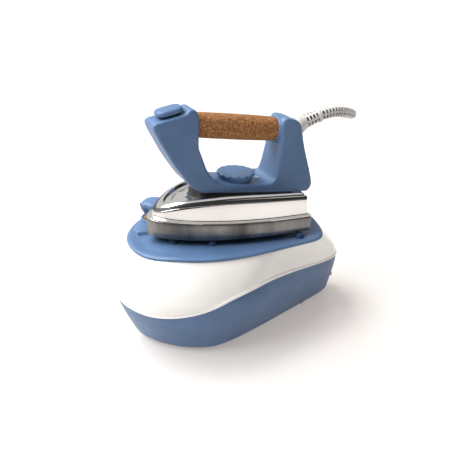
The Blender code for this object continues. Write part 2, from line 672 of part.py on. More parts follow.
def cork_grip():
    axis = GRIP_REAR - GRIP_FRONT
    along = axis.to_track_quat("Z", "Y").to_matrix().to_4x4()
    place = iron_place() @ Matrix.Translation(GRIP_FRONT) @ along
    start, end = 0.0048, axis.length - 0.0042
    profile = [(GRIP_R - 0.0015, start)]
    for i in range(7):
        t = i / 6
        profile.append((GRIP_R + 0.0005 * math.sin(math.pi * t), start + 0.003 + (end - start - 0.006) * t))
    profile += [(GRIP_R - 0.0015, end), (ROD_R + GAP, end), (ROD_R + GAP, start)]
    turned("cork_grip", profile, "cork", place, 24, closed=True)
    turned("grip_rod", [(ROD_R, -0.0090), (ROD_R, axis.length + 0.0090)], "brushed_steel", place, 12)


def dial_and_spindle():
    place = iron_place(DIAL_X, 0.0, 0.0)
    segments = 56
    rings = []
    levels = ((0.0150, 0.0682, 0.0), (0.0162, 0.0700, 0.0), (DIAL_R - 0.0015, 0.0722, 1.0), (DIAL_R, 0.0728, 1.0),
              (DIAL_R, 0.0746, 1.0), (DIAL_R - 0.0008, DIAL_Z, 1.0), (0.0050, DIAL_Z + 0.0003, 0.0))
    for radius, height, notched in levels:
        ring = []
        for i in range(segments):
            a = 2 * math.pi * i / segments
            notch = 0.0012 * notched * max(0.0, math.cos(14 * a))
            ring.append(((radius - notch) * math.cos(a), (radius - notch) * math.sin(a), height))
        rings.append(ring)
    finish("temperature_dial", rings_mesh(rings, False), "blue_plastic", place)
    low = sole_top(DIAL_X) + 0.0048 + 0.0090 + GAP
    turned("dial_spindle", [(0.0030, low), (0.0030, 0.0682 - GAP)], "brushed_steel", place, 10)


def pilot_lamp():
    turned("pilot_lamp", [(0.0040, 0.0), (0.0036, 0.0012), (0.0016, 0.0018)], "chrome",
           iron_place(0.0565, 0.0, 0.0) @ move(0.0, 0.0, 0.0613 + GAP), 12)


def hose_exit():
    """Place of the hose's way out of the rear post, its Z along the hose."""
    return iron_place(*HOSE_EXIT) @ HOSE_HEADING.to_track_quat("Z", "Y").to_matrix().to_4x4()


def strain_relief():
    place = hose_exit()
    profile = [(0.0080, -0.0120), (0.0080, 0.0040), (0.0128, 0.0045), (0.0132, 0.0075), (0.0118, 0.0100)]
    turned("hose_collar", profile + [(0.0098, 0.0165)], "grey_plastic", place, 20)
    profile = [(0.0095, 0.0168), (0.0100, 0.0250), (0.0086, 0.0255), (0.0090, 0.0330), (0.0080, 0.0335),
               (0.0082, 0.0405)]
    turned("hose_boot", profile, "grey_plastic", place, 20)


def smooth_route(points, step):
    """Evenly spaced points on a Catmull-Rom curve through the route."""
    dense = []
    ends = [points[0] * 2 - points[1]] + points + [points[-1] * 2 - points[-2]]
    for a, b, c, d in zip(ends, ends[1:], ends[2:], ends[3:]):
        for i in range(40):
            t = i / 40
            dense.append(0.5 * (2 * b + (c - a) * t + (2 * a - 5 * b + 4 * c - d) * t * t
                                + (3 * b - a - 3 * c + d) * t ** 3))
    dense.append(points[-1])
    length = sum((q - p).length for p, q in zip(dense, dense[1:]))
    count = max(4, round(length / step))
    picked = [dense[0]]
    walked = 0.0
    for p, q in zip(dense, dense[1:]):
        walked += (q - p).length
        if walked >= length * len(picked) / count and len(picked) < count:
            picked.append(q)
    picked.append(dense[-1])
    return picked


def hose_tube(name, route, step):
    """Hose along a route whose first and last stretches stay straight, square to what they meet."""
    points = [route[0]] + smooth_route(route[1:-1], step) + [route[-1]]
    data = bpy.data.curves.new(name, "CURVE")
    data.dimensions = "3D"
    data.bevel_depth = HOSE_R
    data.bevel_resolution = 2
    data.use_fill_caps = True
    spline = data.splines.new("POLY")
    spline.points.add(len(points) - 1)
    for place, point in zip(spline.points, points):
        place.co = (*point, 1.0)
    obj = bpy.data.objects.new(name, data)
    bpy.context.scene.collection.objects.link(obj)
    paint(obj, "hose_fabric")


def steam_hose():
    """Hose from the iron over to the coil and from the coil into the base, the coil itself as one ring."""
    place = hose_exit()
    start = place @ Vector((0.0, 0.0, BOOT_LENGTH + 0.0015))
    bend = place @ Vector((0.0, 0.0, BOOT_LENGTH + 0.0150))
    top = COIL_TOP + GAP
    upper = [start, bend, Vector((0.1700, 0.0060, 0.2880)), Vector((0.1950, 0.0170, 0.2790)), Vector((0.2240, 0.0400, 0.2630)),
             Vector((0.2500, 0.0720, 0.2480)), Vector((0.2600, 0.1030, 0.2405)), Vector((0.2480, 0.1290, 0.2400)),
             Vector((0.2270, 0.1440, 0.2350)), Vector((0.2070, 0.1500, 0.2120)), Vector((0.1990, 0.1520, 0.1750)),
             Vector((0.1970, 0.1600, 0.1200)), Vector((0.2000, 0.2050, 0.0800)), Vector((0.2020, COIL_Y, 0.0640)),
             Vector((0.2020, COIL_Y, top))]
    hose_tube("steam_hose_upper", upper, 0.0280)
    toward = Vector((GLAND_X - COIL_X + 0.014, GLAND_END - COIL_Y, 0.0)).normalized() * (COIL_R + HOSE_R + GAP)
    landing = Vector((COIL_X, COIL_Y, 0.0200)) + toward
    out = toward.normalized()
    lower = [Vector((GLAND_X, GLAND_END + GAP, GLAND_Z)), Vector((GLAND_X, GLAND_END + 0.0160, GLAND_Z)),
             Vector((GLAND_X + 0.002, GLAND_END + 0.0300, GLAND_Z - 0.0120)),
             landing + out * 0.0140, landing]
    hose_tube("steam_hose_lower", lower, 0.0140)
    ring = [(COIL_R - HOSE_R, 0.0003), (COIL_R + HOSE_R, 0.0003), (COIL_R + HOSE_R, COIL_TOP),
            (COIL_R - HOSE_R, COIL_TOP)]
    turned("steam_hose_coil", ring, "hose_fabric", move(COIL_X, COIL_Y, 0.0), 40, closed=True)


def main():
    clear_scene()
    tub = lower_tub()
    carve(tub, panel_opening())
    upper_shell()
    rest_tray()
    tray_pads()
    feet()
    boiler()
    filler_cap(filler())
    base_fittings()
    rear_panel_parts()
    glands(tub)
    soleplate()
    iron_cover()
    thermal_spacer()
    cover_plug()
    iron_inside()
    handle_body()
    steam_button()
    cork_grip()
    dial_and_spindle()
    pilot_lamp()
    strain_relief()
    steam_hose()


main()
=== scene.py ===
"""Steam ironing station: a boiler base with a cork-handled steam iron resting on its tray. Metres, +Z up."""
import json
import math

import bmesh
import bpy
from mathutils import Matrix, Vector


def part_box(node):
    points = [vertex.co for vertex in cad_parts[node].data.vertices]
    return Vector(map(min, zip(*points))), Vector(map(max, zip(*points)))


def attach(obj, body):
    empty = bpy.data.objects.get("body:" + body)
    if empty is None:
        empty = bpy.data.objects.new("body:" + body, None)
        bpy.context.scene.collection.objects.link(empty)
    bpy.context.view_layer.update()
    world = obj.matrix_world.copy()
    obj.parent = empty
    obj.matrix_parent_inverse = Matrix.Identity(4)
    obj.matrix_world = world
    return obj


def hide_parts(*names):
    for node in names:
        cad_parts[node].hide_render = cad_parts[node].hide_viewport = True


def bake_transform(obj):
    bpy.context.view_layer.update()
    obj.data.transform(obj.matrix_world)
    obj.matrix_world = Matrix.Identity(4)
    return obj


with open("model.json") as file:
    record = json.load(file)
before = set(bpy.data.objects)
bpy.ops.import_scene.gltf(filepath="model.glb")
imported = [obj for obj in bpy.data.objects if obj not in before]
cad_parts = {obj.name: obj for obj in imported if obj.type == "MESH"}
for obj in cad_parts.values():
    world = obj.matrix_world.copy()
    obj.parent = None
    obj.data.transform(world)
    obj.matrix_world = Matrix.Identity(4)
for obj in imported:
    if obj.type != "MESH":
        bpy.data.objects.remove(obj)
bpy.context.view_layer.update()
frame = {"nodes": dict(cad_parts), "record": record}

WALL = 0.003
MERGE = 0.000005

# Outlines of the base at the floor, the widest belt and the tray's rim.
FLOOR = dict(nose=0.1415, wide_x=-0.0594, half=0.0786, power=1.55, corner_x=0.1588, corner_y=0.022, bulge=0.0145)
BELT = dict(nose=0.1765, wide_x=-0.0401, half=0.1132, power=2.12, corner_x=0.1596, corner_y=0.0497, bulge=0.0159)
RIM = dict(nose=0.1465, wide_x=-0.015, half=0.0894, power=2.2, corner_x=0.1115, corner_y=0.079, bulge=0.0206)
NOSE_POINTS = 44
SIDE_POINTS = 22
REAR_POINTS = 8
STATION_COUNT = NOSE_POINTS + SIDE_POINTS + REAR_POINTS + 1
LOWER_SWELL = 1.35
UPPER_SWELL = 1.55
BELT_FRONT_Z = 0.098
BELT_REAR_Z = 0.081
RIM_Z = 0.141
BASE_Z = 0.006
PAD_FOOT = 0.0024
SEAM = ((-0.176, 0.0755), (-0.145, 0.0725), (-0.095, 0.0825), (-0.045, 0.0985),
        (0.01, 0.1035), (0.06, 0.099), (0.11, 0.09), (0.176, 0.079))

TILT = math.radians(2.87)
IRON_X = -0.0144
IRON_Z = 0.153
SOLE_LENGTH = 0.216
SOLE_HALF = 0.0655
SOLE_FRONT = 0.0248
SOLE_REAR = 0.021
COVER_TOP = ((-0.108, 0.03), (-0.09, 0.0385), (-0.06, 0.0475), (-0.025, 0.0503), (0.108, 0.043))
BEAD_TOP = ((-0.108, 0.03), (-0.094, 0.0385), (-0.075, 0.0482), (-0.05, 0.0545), (-0.005, 0.0585), (0.055, 0.0568),
            (0.113, 0.0522))
GRIP_FRONT = Vector((-0.044, 0.0, 0.1459))
GRIP_REAR = Vector((0.0788, 0.0, 0.1307))
GRIP_R = 0.0165
BUTTON_SLANT = math.radians(12.0)
BUTTON_AT = Vector((-0.076, 0.0, 0.158))
DIAL_X = 0.0208
DIAL_TOP = 0.0755
DIAL_R = 0.0263
CAP_X = -0.0935
CAP_Y = 0.054
CAP_R = 0.0185
DECK_Z = 0.153
HOSE_R = 0.007
CORE_R = 0.0054
HOSE_EXIT = (0.1085, 0.0, 0.131)
HOSE_HEADING = Vector((1.0, 0.0, 0.33))
# Distances along the hose, from its way out of the post.
BOOT_FROM = 0.0015
BOOT_TO = 0.0245
SLEEVE_FROM = 0.0275
BOOT_END = 0.0405
SLEEVE_TO = 0.13
COIL_X = 0.125
COIL_Y = 0.245
COIL_R = 0.072
COIL_PITCH = 0.0143
COIL_TURN = math.radians(915)
COIL_POINTS = 56
PANEL_X = 0.1645
PANEL_Z = 0.048
GLAND = Vector((0.075, 0.1, 0.045))


# ---------------------------------------------------------------- finishes

def linear(code):
    """Linear colour of an sRGB hex code."""
    values = [int(code[i:i + 2], 16) / 255 for i in (0, 2, 4)]
    return (*[v / 12.92 if v <= 0.04045 else ((v + 0.055) / 1.055) ** 2.4 for v in values], 1.0)


def node(tree, kind, inputs=None, **settings):
    """Adds one node; an input that is a socket is linked, anything else is its value."""
    made = tree.nodes.new("ShaderNode" + kind)
    for key, value in settings.items():
        setattr(made, key, value)
    for socket, value in (inputs or {}).items():
        if isinstance(value, bpy.types.NodeSocket):
            tree.links.new(value, made.inputs[socket])
        else:
            made.inputs[socket].default_value = value
    return made


def new_finish(name, **sockets):
    """A Principled material with its uniform values set, and its tree, shader and Object coordinates."""
    mat = bpy.data.materials.new(name)
    mat.use_nodes = True
    tree = mat.node_tree
    shader = tree.nodes["Principled BSDF"]
    for key, value in sockets.items():
        shader.inputs[key.replace("_", " ")].default_value = value
    where = node(tree, "TexCoord").outputs["Object"]
    return mat, tree, shader, where


def grain(tree, shader, where, spacing, depth, detail=3.0, stretch=(1, 1, 1)):
    """Fine bumps of a spacing and a depth in metres."""
    place = node(tree, "Mapping", {"Vector": where, "Scale": stretch})
    noise = node(tree, "TexNoise", {"Vector": place.outputs[0], "Scale": 1 / spacing, "Detail": detail})
    bump = node(tree, "Bump", {"Height": noise.outputs[0], "Distance": depth, "Strength": 1.0})
    tree.links.new(bump.outputs[0], shader.inputs["Normal"])


def tint(tree, shader, where, socket, low, high, spacing, stretch=(1, 1, 1), detail=2.0):
    """Soft change between two colours, or two values, in patches of a spacing in metres."""
    place = node(tree, "Mapping", {"Vector": where, "Scale": stretch})
    noise = node(tree, "TexNoise", {"Vector": place.outputs[0], "Scale": 1 / spacing, "Detail": detail})
    if isinstance(low, str):
        spread = node(tree, "ValToRGB", {"Fac": noise.outputs[0]})
        for element, position, colour in zip(spread.color_ramp.elements, (0.35, 0.65), (low, high)):
            element.position = position
            element.color = linear(colour)
    else:
        spread = node(tree, "MapRange", {"Value": noise.outputs[0], "From Min": 0.3, "From Max": 0.7,
                                         "To Min": low, "To Max": high})
    tree.links.new(spread.outputs[0], shader.inputs[socket])


def plain_finish(name, colours, roughness, bumps=None, **sockets):
    """A material with patches of two colours and two roughnesses, each (low, high, spacing, ...), and fine bumps."""
    mat, tree, shader, where = new_finish(name, **sockets)
    tint(tree, shader, where, "Base Color", *colours)
    tint(tree, shader, where, "Roughness", *roughness)
    if bumps:
        grain(tree, shader, where, *bumps)
    return mat


def satin_moulding(name, low, high, rough_low, rough_high, shine=0.5):
    """Moulded plastic with a fine spark-eroded grain, which spreads its highlights softly."""
    # The real grain is about 0.3 mm; it is drawn at 1.1 mm to be seen at all.
    return plain_finish(name, (low, high, 0.045), (rough_low, rough_high, 0.012), (0.0011, 0.00003), IOR=1.49,
                        Specular_IOR_Level=shine)


def plain_metal(name, low, high, rough):
    """Small metal fittings, drawn or turned, with light handling marks."""
    return plain_finish(name, (low, high, 0.01), (rough - 0.06, rough + 0.06, 0.004),
                        (0.0015, 0.00001, 2.0, (0.1, 1, 1)), Metallic=1.0)


def soft_rubber(name, low, high):
    """Moulded rubber: dull, with a light bloom."""
    return plain_finish(name, (low, high, 0.006), (0.6, 0.8, 0.005), (0.001, 0.00004), IOR=1.5,
                        Specular_IOR_Level=0.3)


def pressed_cork():
    """Pressed granulated cork: tan granules about 1.4 mm across with dark bark specks, dry and matt."""
    mat, tree, shader, where = new_finish("pressed cork", IOR=1.4, Specular_IOR_Level=0.25)
    cells = node(tree, "TexVoronoi", {"Vector": where, "Scale": 1 / 0.0014, "Randomness": 1.0})
    shade = node(tree, "SeparateColor", {"Color": cells.outputs["Color"]})
    ramp = node(tree, "ValToRGB", {"Fac": shade.outputs[0]})
    ramp.color_ramp.elements[0].color = linear("6d4628")
    ramp.color_ramp.elements[1].color = linear("b98b5c")
    middle = ramp.color_ramp.elements.new(0.45)
    middle.color = linear("936340")
    specks = node(tree, "TexNoise", {"Vector": where, "Scale": 1 / 0.0011, "Detail": 4.0, "Roughness": 0.7})
    dark = node(tree, "MapRange", {"Value": specks.outputs[0], "From Min": 0.56, "From Max": 0.66})
    mixed = node(tree, "Mix", {"Factor": dark.outputs[0], "A": ramp.outputs[0], "B": linear("44281a")},
                 data_type="RGBA")
    tree.links.new(mixed.outputs["Result"], shader.inputs["Base Color"])
    tint(tree, shader, where, "Roughness", 0.75, 0.95, 0.004)
    height = node(tree, "Math", {0: cells.outputs["Distance"], 1: specks.outputs[0]}, operation="SUBTRACT")
    bump = node(tree, "Bump", {"Height": height.outputs[0], "Distance": 0.0003, "Strength": 0.8})
    tree.links.new(bump.outputs[0], shader.inputs["Normal"])
    return mat


def braided_sleeve():
    """Braided polyester sleeve of the hose: off-white yarns about 0.5 mm apart, crossing on the slant."""
    mat, tree, shader, where = new_finish("braided sleeve", IOR=1.45, Sheen_Weight=0.3)
    along = node(tree, "UVMap", uv_map="along").outputs[0]
    heights = []
    for slant in (1, -1):
        # The map holds the angle round the hose, and the way along it in hose radii.
        slanted = node(tree, "Mapping", {"Vector": along, "Rotation": (0, 0, slant * math.radians(45))})
        heights.append(node(tree, "TexWave", {"Vector": slanted.outputs[0], "Scale": 4.5, "Distortion": 0.4},
                            wave_type="BANDS").outputs["Fac"])
    weave = node(tree, "Math", {0: heights[0], 1: heights[1]}, operation="MAXIMUM")
    # The ramp colours the weave's low parts, between the yarns, darker: painted shade in its hollows.
    ramp = node(tree, "ValToRGB", {"Fac": weave.outputs[0]})
    ramp.color_ramp.elements[0].color = linear("a9a6a4")
    ramp.color_ramp.elements[1].color = linear("e3e1de")
    tree.links.new(ramp.outputs[0], shader.inputs["Base Color"])
    tint(tree, shader, where, "Roughness", 0.65, 0.85, 0.006)
    bump = node(tree, "Bump", {"Height": weave.outputs[0], "Distance": 0.0004, "Strength": 0.7})
    tree.links.new(bump.outputs[0], shader.inputs["Normal"])
    return mat


FINISH = {
    "blue_plastic": satin_moulding("satin blue polypropylene", "4f6b91", "567399", 0.38, 0.48, shine=0.38),
    # Polished ABS: crisp highlights with a very slight sink and flow waviness.
    "white_plastic": plain_finish("white gloss ABS", ("f0eeeb", "f5f3f0", 0.07), (0.1, 0.16, 0.02),
                                  (0.03, 0.0001, 1.0), IOR=1.54, Coat_Weight=0.25, Coat_Roughness=0.05),
    "black_plastic": satin_moulding("black phenolic", "161617", "202021", 0.4, 0.55),
    "grey_plastic": satin_moulding("pale grey polyamide", "c2c0bf", "cdcbca", 0.36, 0.48),
    "cork": pressed_cork(),
    # Chrome plate on pressed steel: a near mirror, with a faint haze from wiping.
    "chrome": plain_finish("chrome plate", ("dedcda", "e6e4e2", 0.06), (0.055, 0.12, 0.018, (1, 1, 4)),
                           (0.05, 0.00006, 1.0), Metallic=1.0),
    # Die-cast aluminium skirt, linished: grey, with soft light and dark bands along it that are painted reflections.
    "sole_metal": plain_finish("linished aluminium", ("4a4a49", "8a8987", 0.042, (1, 1, 0.15), 3.0),
                               (0.24, 0.4, 0.01, (1, 1, 0.2)), (0.0016, 0.00002, 2.0, (0.08, 0.08, 1)),
                               Metallic=1.0),
    "brushed_steel": plain_metal("drawn steel", "8d8d8f", "a3a3a5", 0.3),
    "aluminium": plain_metal("satin aluminium", "aeaeb0", "c0c0c2", 0.36),
    "brass": plain_metal("turned brass", "b58f4c", "c7a25c", 0.28),
    "rubber": soft_rubber("black rubber", "151516", "222224"),
    "blue_rubber": soft_rubber("dark blue rubber", "263a5c", "32486c"),
    "hose_fabric": braided_sleeve(),
    # Tinted acrylic, clear and smooth, over a small lamp that isn't lit.
    "lamp_lens": plain_finish("pale blue acrylic", ("8fa4c6", "a0b3d0", 0.003), (0.06, 0.14, 0.002),
                              (0.002, 0.00003), IOR=1.49),
}
DARK_CORE = soft_rubber("dark inner hose", "1b1b1d", "29292b")


# ---------------------------------------------------------------- making

def placed(name, data):
    """Puts a new object with this data in the scene."""
    obj = bpy.data.objects.new(name, data)
    bpy.context.scene.collection.objects.link(obj)
    return obj


def mesh_from(name, bm):
    mesh = bpy.data.meshes.new(name)
    bm.to_mesh(mesh)
    bm.free()
    return mesh


def shown(name, bm, slot, body, replaces=(), sharp=38.0):
    """Makes a piece of a bmesh: outward faces, its finish, the body it moves with and the CAD nodes it stands for."""
    bmesh.ops.remove_doubles(bm, verts=bm.verts, dist=MERGE)
    bmesh.ops.recalc_face_normals(bm, faces=bm.faces)
    mesh = mesh_from(name, bm)
    mesh.shade_smooth()
    mesh.set_sharp_from_angle(angle=math.radians(sharp))
    mesh.materials.append(FINISH[slot])
    obj = placed(name, mesh)
    if body:
        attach(obj, body)
    if replaces:
        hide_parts(*replaces)
    return obj


def draw_up(bm, rings, cap_start=True, cap_end=True, join=False):
    """Draws a wall from ring to ring, each of the same count, then caps it or joins its ends."""
    order = bm.verts.layers.int.get("order") or bm.verts.layers.int.new("order")
    verts = [bm.verts.new(p) for p in rings[0]]
    for i, vert in enumerate(verts):
        vert[order] = i
    first = [bm.edges.new(pair) for pair in zip(verts, verts[1:] + verts[:1])]
    loop = first
    for ring in rings[1:]:
        grown = bmesh.ops.extrude_edge_only(bm, edges=loop)["geom"]
        loop = [part for part in grown if isinstance(part, bmesh.types.BMEdge)]
        for part in grown:
            if isinstance(part, bmesh.types.BMVert):
                part.co = ring[part[order]]
    if join:
        bmesh.ops.bridge_loops(bm, edges=first + loop)
        return
    if cap_start:
        bmesh.ops.contextual_create(bm, geom=first)
    if cap_end:
        bmesh.ops.contextual_create(bm, geom=loop)


def drawn(name, rings, slot, body, replaces, place=None, sharp=38.0, **ends):
    """A piece drawn up from rings and then put in its place."""
    bm = bmesh.new()
    draw_up(bm, rings, **ends)
    if place is not None:
        bmesh.ops.transform(bm, matrix=place, verts=bm.verts)
    return shown(name, bm, slot, body, replaces, sharp)


def scalloped(levels, steps, bite):
    """Round rings of (radius, height, share), each losing its share of a depth that changes with the angle."""
    rings = []
    for radius, height, share in levels:
        ring = []
        for i in range(steps):
            a = 2 * math.pi * i / steps
            r = radius - share * bite(a)
            ring.append((r * math.cos(a), r * math.sin(a), height))
        rings.append(ring)
    return rings


def spun(bm, profile, steps=48, place=None, closed=False):
    """Turns a profile of (radius, height) about Z; a profile that isn't closed ends on the axis or is capped."""
    old = set(bm.verts)
    verts = [bm.verts.new((r, 0.0, z)) for r, z in profile]
    pairs = list(zip(verts, verts[1:]))
    if closed:
        pairs.append((verts[-1], verts[0]))
    edges = [bm.edges.new(pair) for pair in pairs]
    bmesh.ops.spin(bm, geom=verts + edges, axis=(0, 0, 1), cent=(0, 0, 0), angle=2 * math.pi, steps=steps,
                   use_merge=True)
    bmesh.ops.remove_doubles(bm, verts=[v for v in bm.verts if v not in old], dist=MERGE)
    ends = [e for e in bm.edges if e.is_boundary]
    if ends:
        bmesh.ops.holes_fill(bm, edges=ends, sides=0)
    if place is not None:
        bmesh.ops.transform(bm, matrix=place, verts=[v for v in bm.verts if v not in old])


def turned(name, profile, slot, body, place=None, replaces=(), steps=48, closed=False, soften=0.0):
    """A piece turned about Z from a profile of (radius, height), its corners softened by a radius."""
    if soften:
        profile = rounded(profile + profile[:1], soften)[:-1] if closed else rounded(profile, soften)
    bm = bmesh.new()
    spun(bm, profile, steps, place, closed)
    return shown(name, bm, slot, body, replaces)


def rounded(corners, radius, steps=5):
    """Profile points with each inner corner replaced by a small arc."""
    made = [Vector(corners[0])]
    for a, b, c in zip(corners, corners[1:], corners[2:]):
        a, b, c = Vector(a), Vector(b), Vector(c)
        reach = min(radius, (a - b).length * 0.48, (c - b).length * 0.48)
        start = b + (a - b).normalized() * reach
        end = b + (c - b).normalized() * reach
        for i in range(steps + 1):
            t = i / steps
            made.append(start * (1 - t) ** 2 + b * 2 * t * (1 - t) + end * t * t)
    made.append(Vector(corners[-1]))
    return [tuple(p) for p in made]


def soft_line(points, step=0.0025):
    """Evenly spaced points on a smooth curve through the given ones."""
    points = [Vector(p) for p in points]
    ends = [points[0] * 2 - points[1]] + points + [points[-1] * 2 - points[-2]]
    dense = []
    for a, b, c, d in zip(ends, ends[1:], ends[2:], ends[3:]):
        for i in range(24):
            t = i / 24
            dense.append(0.5 * (2 * b + (c - a) * t + (2 * a - 5 * b + 4 * c - d) * t * t
                                + (3 * b - a - 3 * c + d) * t ** 3))
    dense.append(points[-1])
    total = sum((q - p).length for p, q in zip(dense, dense[1:]))
    count = max(3, round(total / step))
    picked, walked = [dense[0]], 0.0
    for p, q in zip(dense, dense[1:]):
        walked += (q - p).length
        while len(picked) < count and walked >= total * len(picked) / count:
            picked.append(q)
    picked.append(dense[-1])
    return picked


def move(x, y, z):
    return Matrix.Translation((x, y, z))


def iron_place(x=0.0, y=0.0, z=0.0):
    """Place in the iron's tilted frame, which starts at the middle of the sole's underside."""
    return move(IRON_X, 0.0, IRON_Z) @ Matrix.Rotation(TILT, 4, "Y") @ move(x, y, z)


def ease(points, x):
    """Smooth interpolation through (position, value) points."""
    for (x0, v0), (x1, v1) in zip(points, points[1:]):
        if x <= x1:
            t = max(0.0, (x - x0) / (x1 - x0))
            return v0 + (v1 - v0) * t * t * (3 - 2 * t)
    return points[-1][1]


def flowing(points, x):
    """Smooth curve through (position, value) points, without a flat spot at each."""
    for i in range(len(points) - 1):
        (x0, z0), (x1, z1) = points[i], points[i + 1]
        if x <= x1 or i == len(points) - 2:
            before = points[max(i - 1, 0)]
            after = points[min(i + 2, len(points) - 1)]
            width = x1 - x0
            start = (z1 - before[1]) / (x1 - before[0]) * width
            end = (after[1] - z0) / (after[0] - x0) * width
            t = min(1.0, max(0.0, (x - x0) / width))
            return (z0 * (2 * t ** 3 - 3 * t ** 2 + 1) + start * (t ** 3 - 2 * t ** 2 + t)
                    + z1 * (3 * t ** 2 - 2 * t ** 3) + end * (t ** 3 - t ** 2))
    return points[-1][1]


# ---------------------------------------------------------------- base

def side_line(shape, inset=0.0):
    """Near side of an outline from the nose to the middle of the rear."""
    nose = shape["nose"] - inset
    half = shape["half"] - inset
    wide_x = shape["wide_x"]
    corner_x = shape["corner_x"] - inset * 0.9
    corner_y = shape["corner_y"] - inset * 0.9
    points = []
    for i in range(NOSE_POINTS + 1):
        a = math.pi / 2 * i / NOSE_POINTS
        x = wide_x - (wide_x + nose) * math.cos(a) ** (2 / shape["power"])
        points.append((x, -half * math.sin(a) ** (2 / shape["power"])))
    soft = 0.15
    for i in range(1, SIDE_POINTS + 1):
        s = i / SIDE_POINTS
        drop = (math.sqrt(s * s + soft * soft) - soft) / (math.sqrt(1 + soft * soft) - soft)
        points.append((wide_x + (corner_x - wide_x) * s, -(half - (half - corner_y) * drop)))
    for i in range(1, REAR_POINTS + 1):
        t = i / REAR_POINTS
        points.append((corner_x + shape["bulge"] * (1 - (1 - t) ** 2), -corner_y * (1 - t)))
    return ease_corner(points)


def ease_corner(points):
    """Rounds the rear corner over a few millimetres."""
    middle = NOSE_POINTS + SIDE_POINTS
    rounds, reach = 7, 5
    for _ in range(rounds):
        fresh = list(points)
        for i in range(middle - reach, middle + reach + 1):
            (ax, ay), (bx, by), (cx, cy) = points[i - 1:i + 2]
            fresh[i] = ((ax + 2 * bx + cx) / 4, (ay + 2 * by + cy) / 4)
        points = fresh
    return points


def whole(points):
    """Mirrors a near-side line into a closed ring."""
    return points + [(p[0], -p[1], *p[2:]) for p in points[-2:0:-1]]


OUTLINES = {}


def outline(name, inset):
    key = (name, round(inset, 6))
    if key not in OUTLINES:
        shape = {"floor": FLOOR, "belt": BELT, "rim": RIM}[name]
        OUTLINES[key] = side_line(shape, inset)
    return OUTLINES[key]


def belt_z(x):
    t = (x + BELT["nose"]) / (BELT["nose"] + BELT["corner_x"])
    return BELT_FRONT_Z + (BELT_REAR_Z - BELT_FRONT_Z) * min(1.0, t)


def rim_z(x):
    """Height of the tray's rim, level with the iron and drooping a little at the nose."""
    t = min(1.0, max(0.0, (-0.1 - x) / 0.05))
    return RIM_Z - math.tan(TILT) * x - 0.0055 * t * t * (3 - 2 * t)


def skin_point(i, t, inset):
    """Point of the base's skin at station i: t 0 floor, 1 belt, 2 tray rim."""
    floor, belt, rim = (outline(name, inset)[i] for name in ("floor", "belt", "rim"))
    low = belt_z(belt[0])
    if t <= 1.0:
        g = 1 - (1 - t) ** LOWER_SWELL
        return (floor[0] + (belt[0] - floor[0]) * g, floor[1] + (belt[1] - floor[1]) * g, t * low)
    k = (t - 1.0) ** UPPER_SWELL
    return (belt[0] + (rim[0] - belt[0]) * k, belt[1] + (rim[1] - belt[1]) * k,
            low + (rim_z(rim[0]) - low) * (t - 1.0))


def seam_level(i):
    """Skin parameter where station i meets the wavy joint."""
    low, high = 0.3, 1.9
    for _ in range(24):
        mid = (low + high) / 2
        x, _, z = skin_point(i, mid, 0.0)
        if z < flowing(SEAM, x):
            low = mid
        else:
            high = mid
    return low


SEAM_LEVELS = [seam_level(i) for i in range(STATION_COUNT)]


def skin_ring(share, inset, above, lift=0.0):
    """Ring a share of the way from floor to seam, or with above from seam to rim."""
    points = []
    for i in range(STATION_COUNT):
        seam = SEAM_LEVELS[i]
        start = BASE_Z / belt_z(outline("belt", 0.0)[i][0])
        t = seam + (2.0 - seam) * share if above else start + (seam - start) * share
        x, y, z = skin_point(i, t, inset)
        points.append((x, y, z + lift))
    return whole(points)


def rim_ring(inset, lift):
    """Ring round the tray's rim, a lift above it."""
    return whole([(x, y, rim_z(x) + lift) for x, y in outline("rim", inset)])


def lower_tub():
    """Blue tub: drafted walls with a rounded foot edge, its top tucked behind the shell's lip."""
    rings = []
    for share, inset, z in ((0.0, 0.0062, BASE_Z), (0.0, 0.003, BASE_Z + 0.0003), (0.012, 0.0012, BASE_Z + 0.0015)):
        rings.append([(x, y, z) for x, y, _ in skin_ring(share, inset, False)])
    rings.append([(x, y, BASE_Z + 0.004) for x, y, _ in skin_ring(0.04, 0.0002, False)])
    rings += [skin_ring(s / 14, 0.0, False) for s in range(1, 14)]
    rings += [skin_ring(0.992, 0.0002, False), skin_ring(1.0, 0.001, False)]
    rings += [skin_ring(1.0, WALL, False), skin_ring(0.6, WALL, False)]
    rings.append([(x, y, BASE_Z + WALL) for x, y, _ in skin_ring(0.06, WALL + 0.001, False)])
    tub = drawn("tub", rings, "blue_plastic", "base", ["lower_tub"])
    # Pocket for the switch plate, a little larger than it.
    window = bmesh.new()
    plate(window, (0.06, 0.053, 0.031), move(PANEL_X + 0.006, 0.0, PANEL_Z), 0.0035, 0.0005)
    carve(tub, window)


def settle(obj, mod, rounds=0):
    """Makes a modifier's result the piece's own mesh, smoothed a number of rounds."""
    bpy.context.view_layer.update()
    mesh = bpy.data.meshes.new_from_object(obj.evaluated_get(bpy.context.evaluated_depsgraph_get()))
    obj.modifiers.remove(mod)
    bm = bmesh.new()
    bm.from_mesh(mesh)
    for _ in range(rounds):
        bmesh.ops.smooth_vert(bm, verts=bm.verts, factor=0.5, use_axis_x=True, use_axis_y=True, use_axis_z=True)
    bm.to_mesh(obj.data)
    bm.free()
    bpy.data.meshes.remove(mesh)


def carve(obj, tool_bm):
    """Cuts a tool's shape out of a piece."""
    tool = placed("tool", mesh_from("tool", tool_bm))
    mod = obj.modifiers.new("cut", "BOOLEAN")
    mod.operation = "DIFFERENCE"
    mod.solver = "EXACT"
    mod.object = tool
    settle(obj, mod)
    bpy.data.objects.remove(tool, do_unlink=True)


def melt(obj, voxel, rounds):
    """Joins the overlapping shapes of a moulding into one skin and rounds its edges."""
    mod = obj.modifiers.new("skin", "REMESH")
    mod.mode = "VOXEL"
    mod.voxel_size = voxel
    settle(obj, mod, rounds)
    obj.data.shade_smooth()


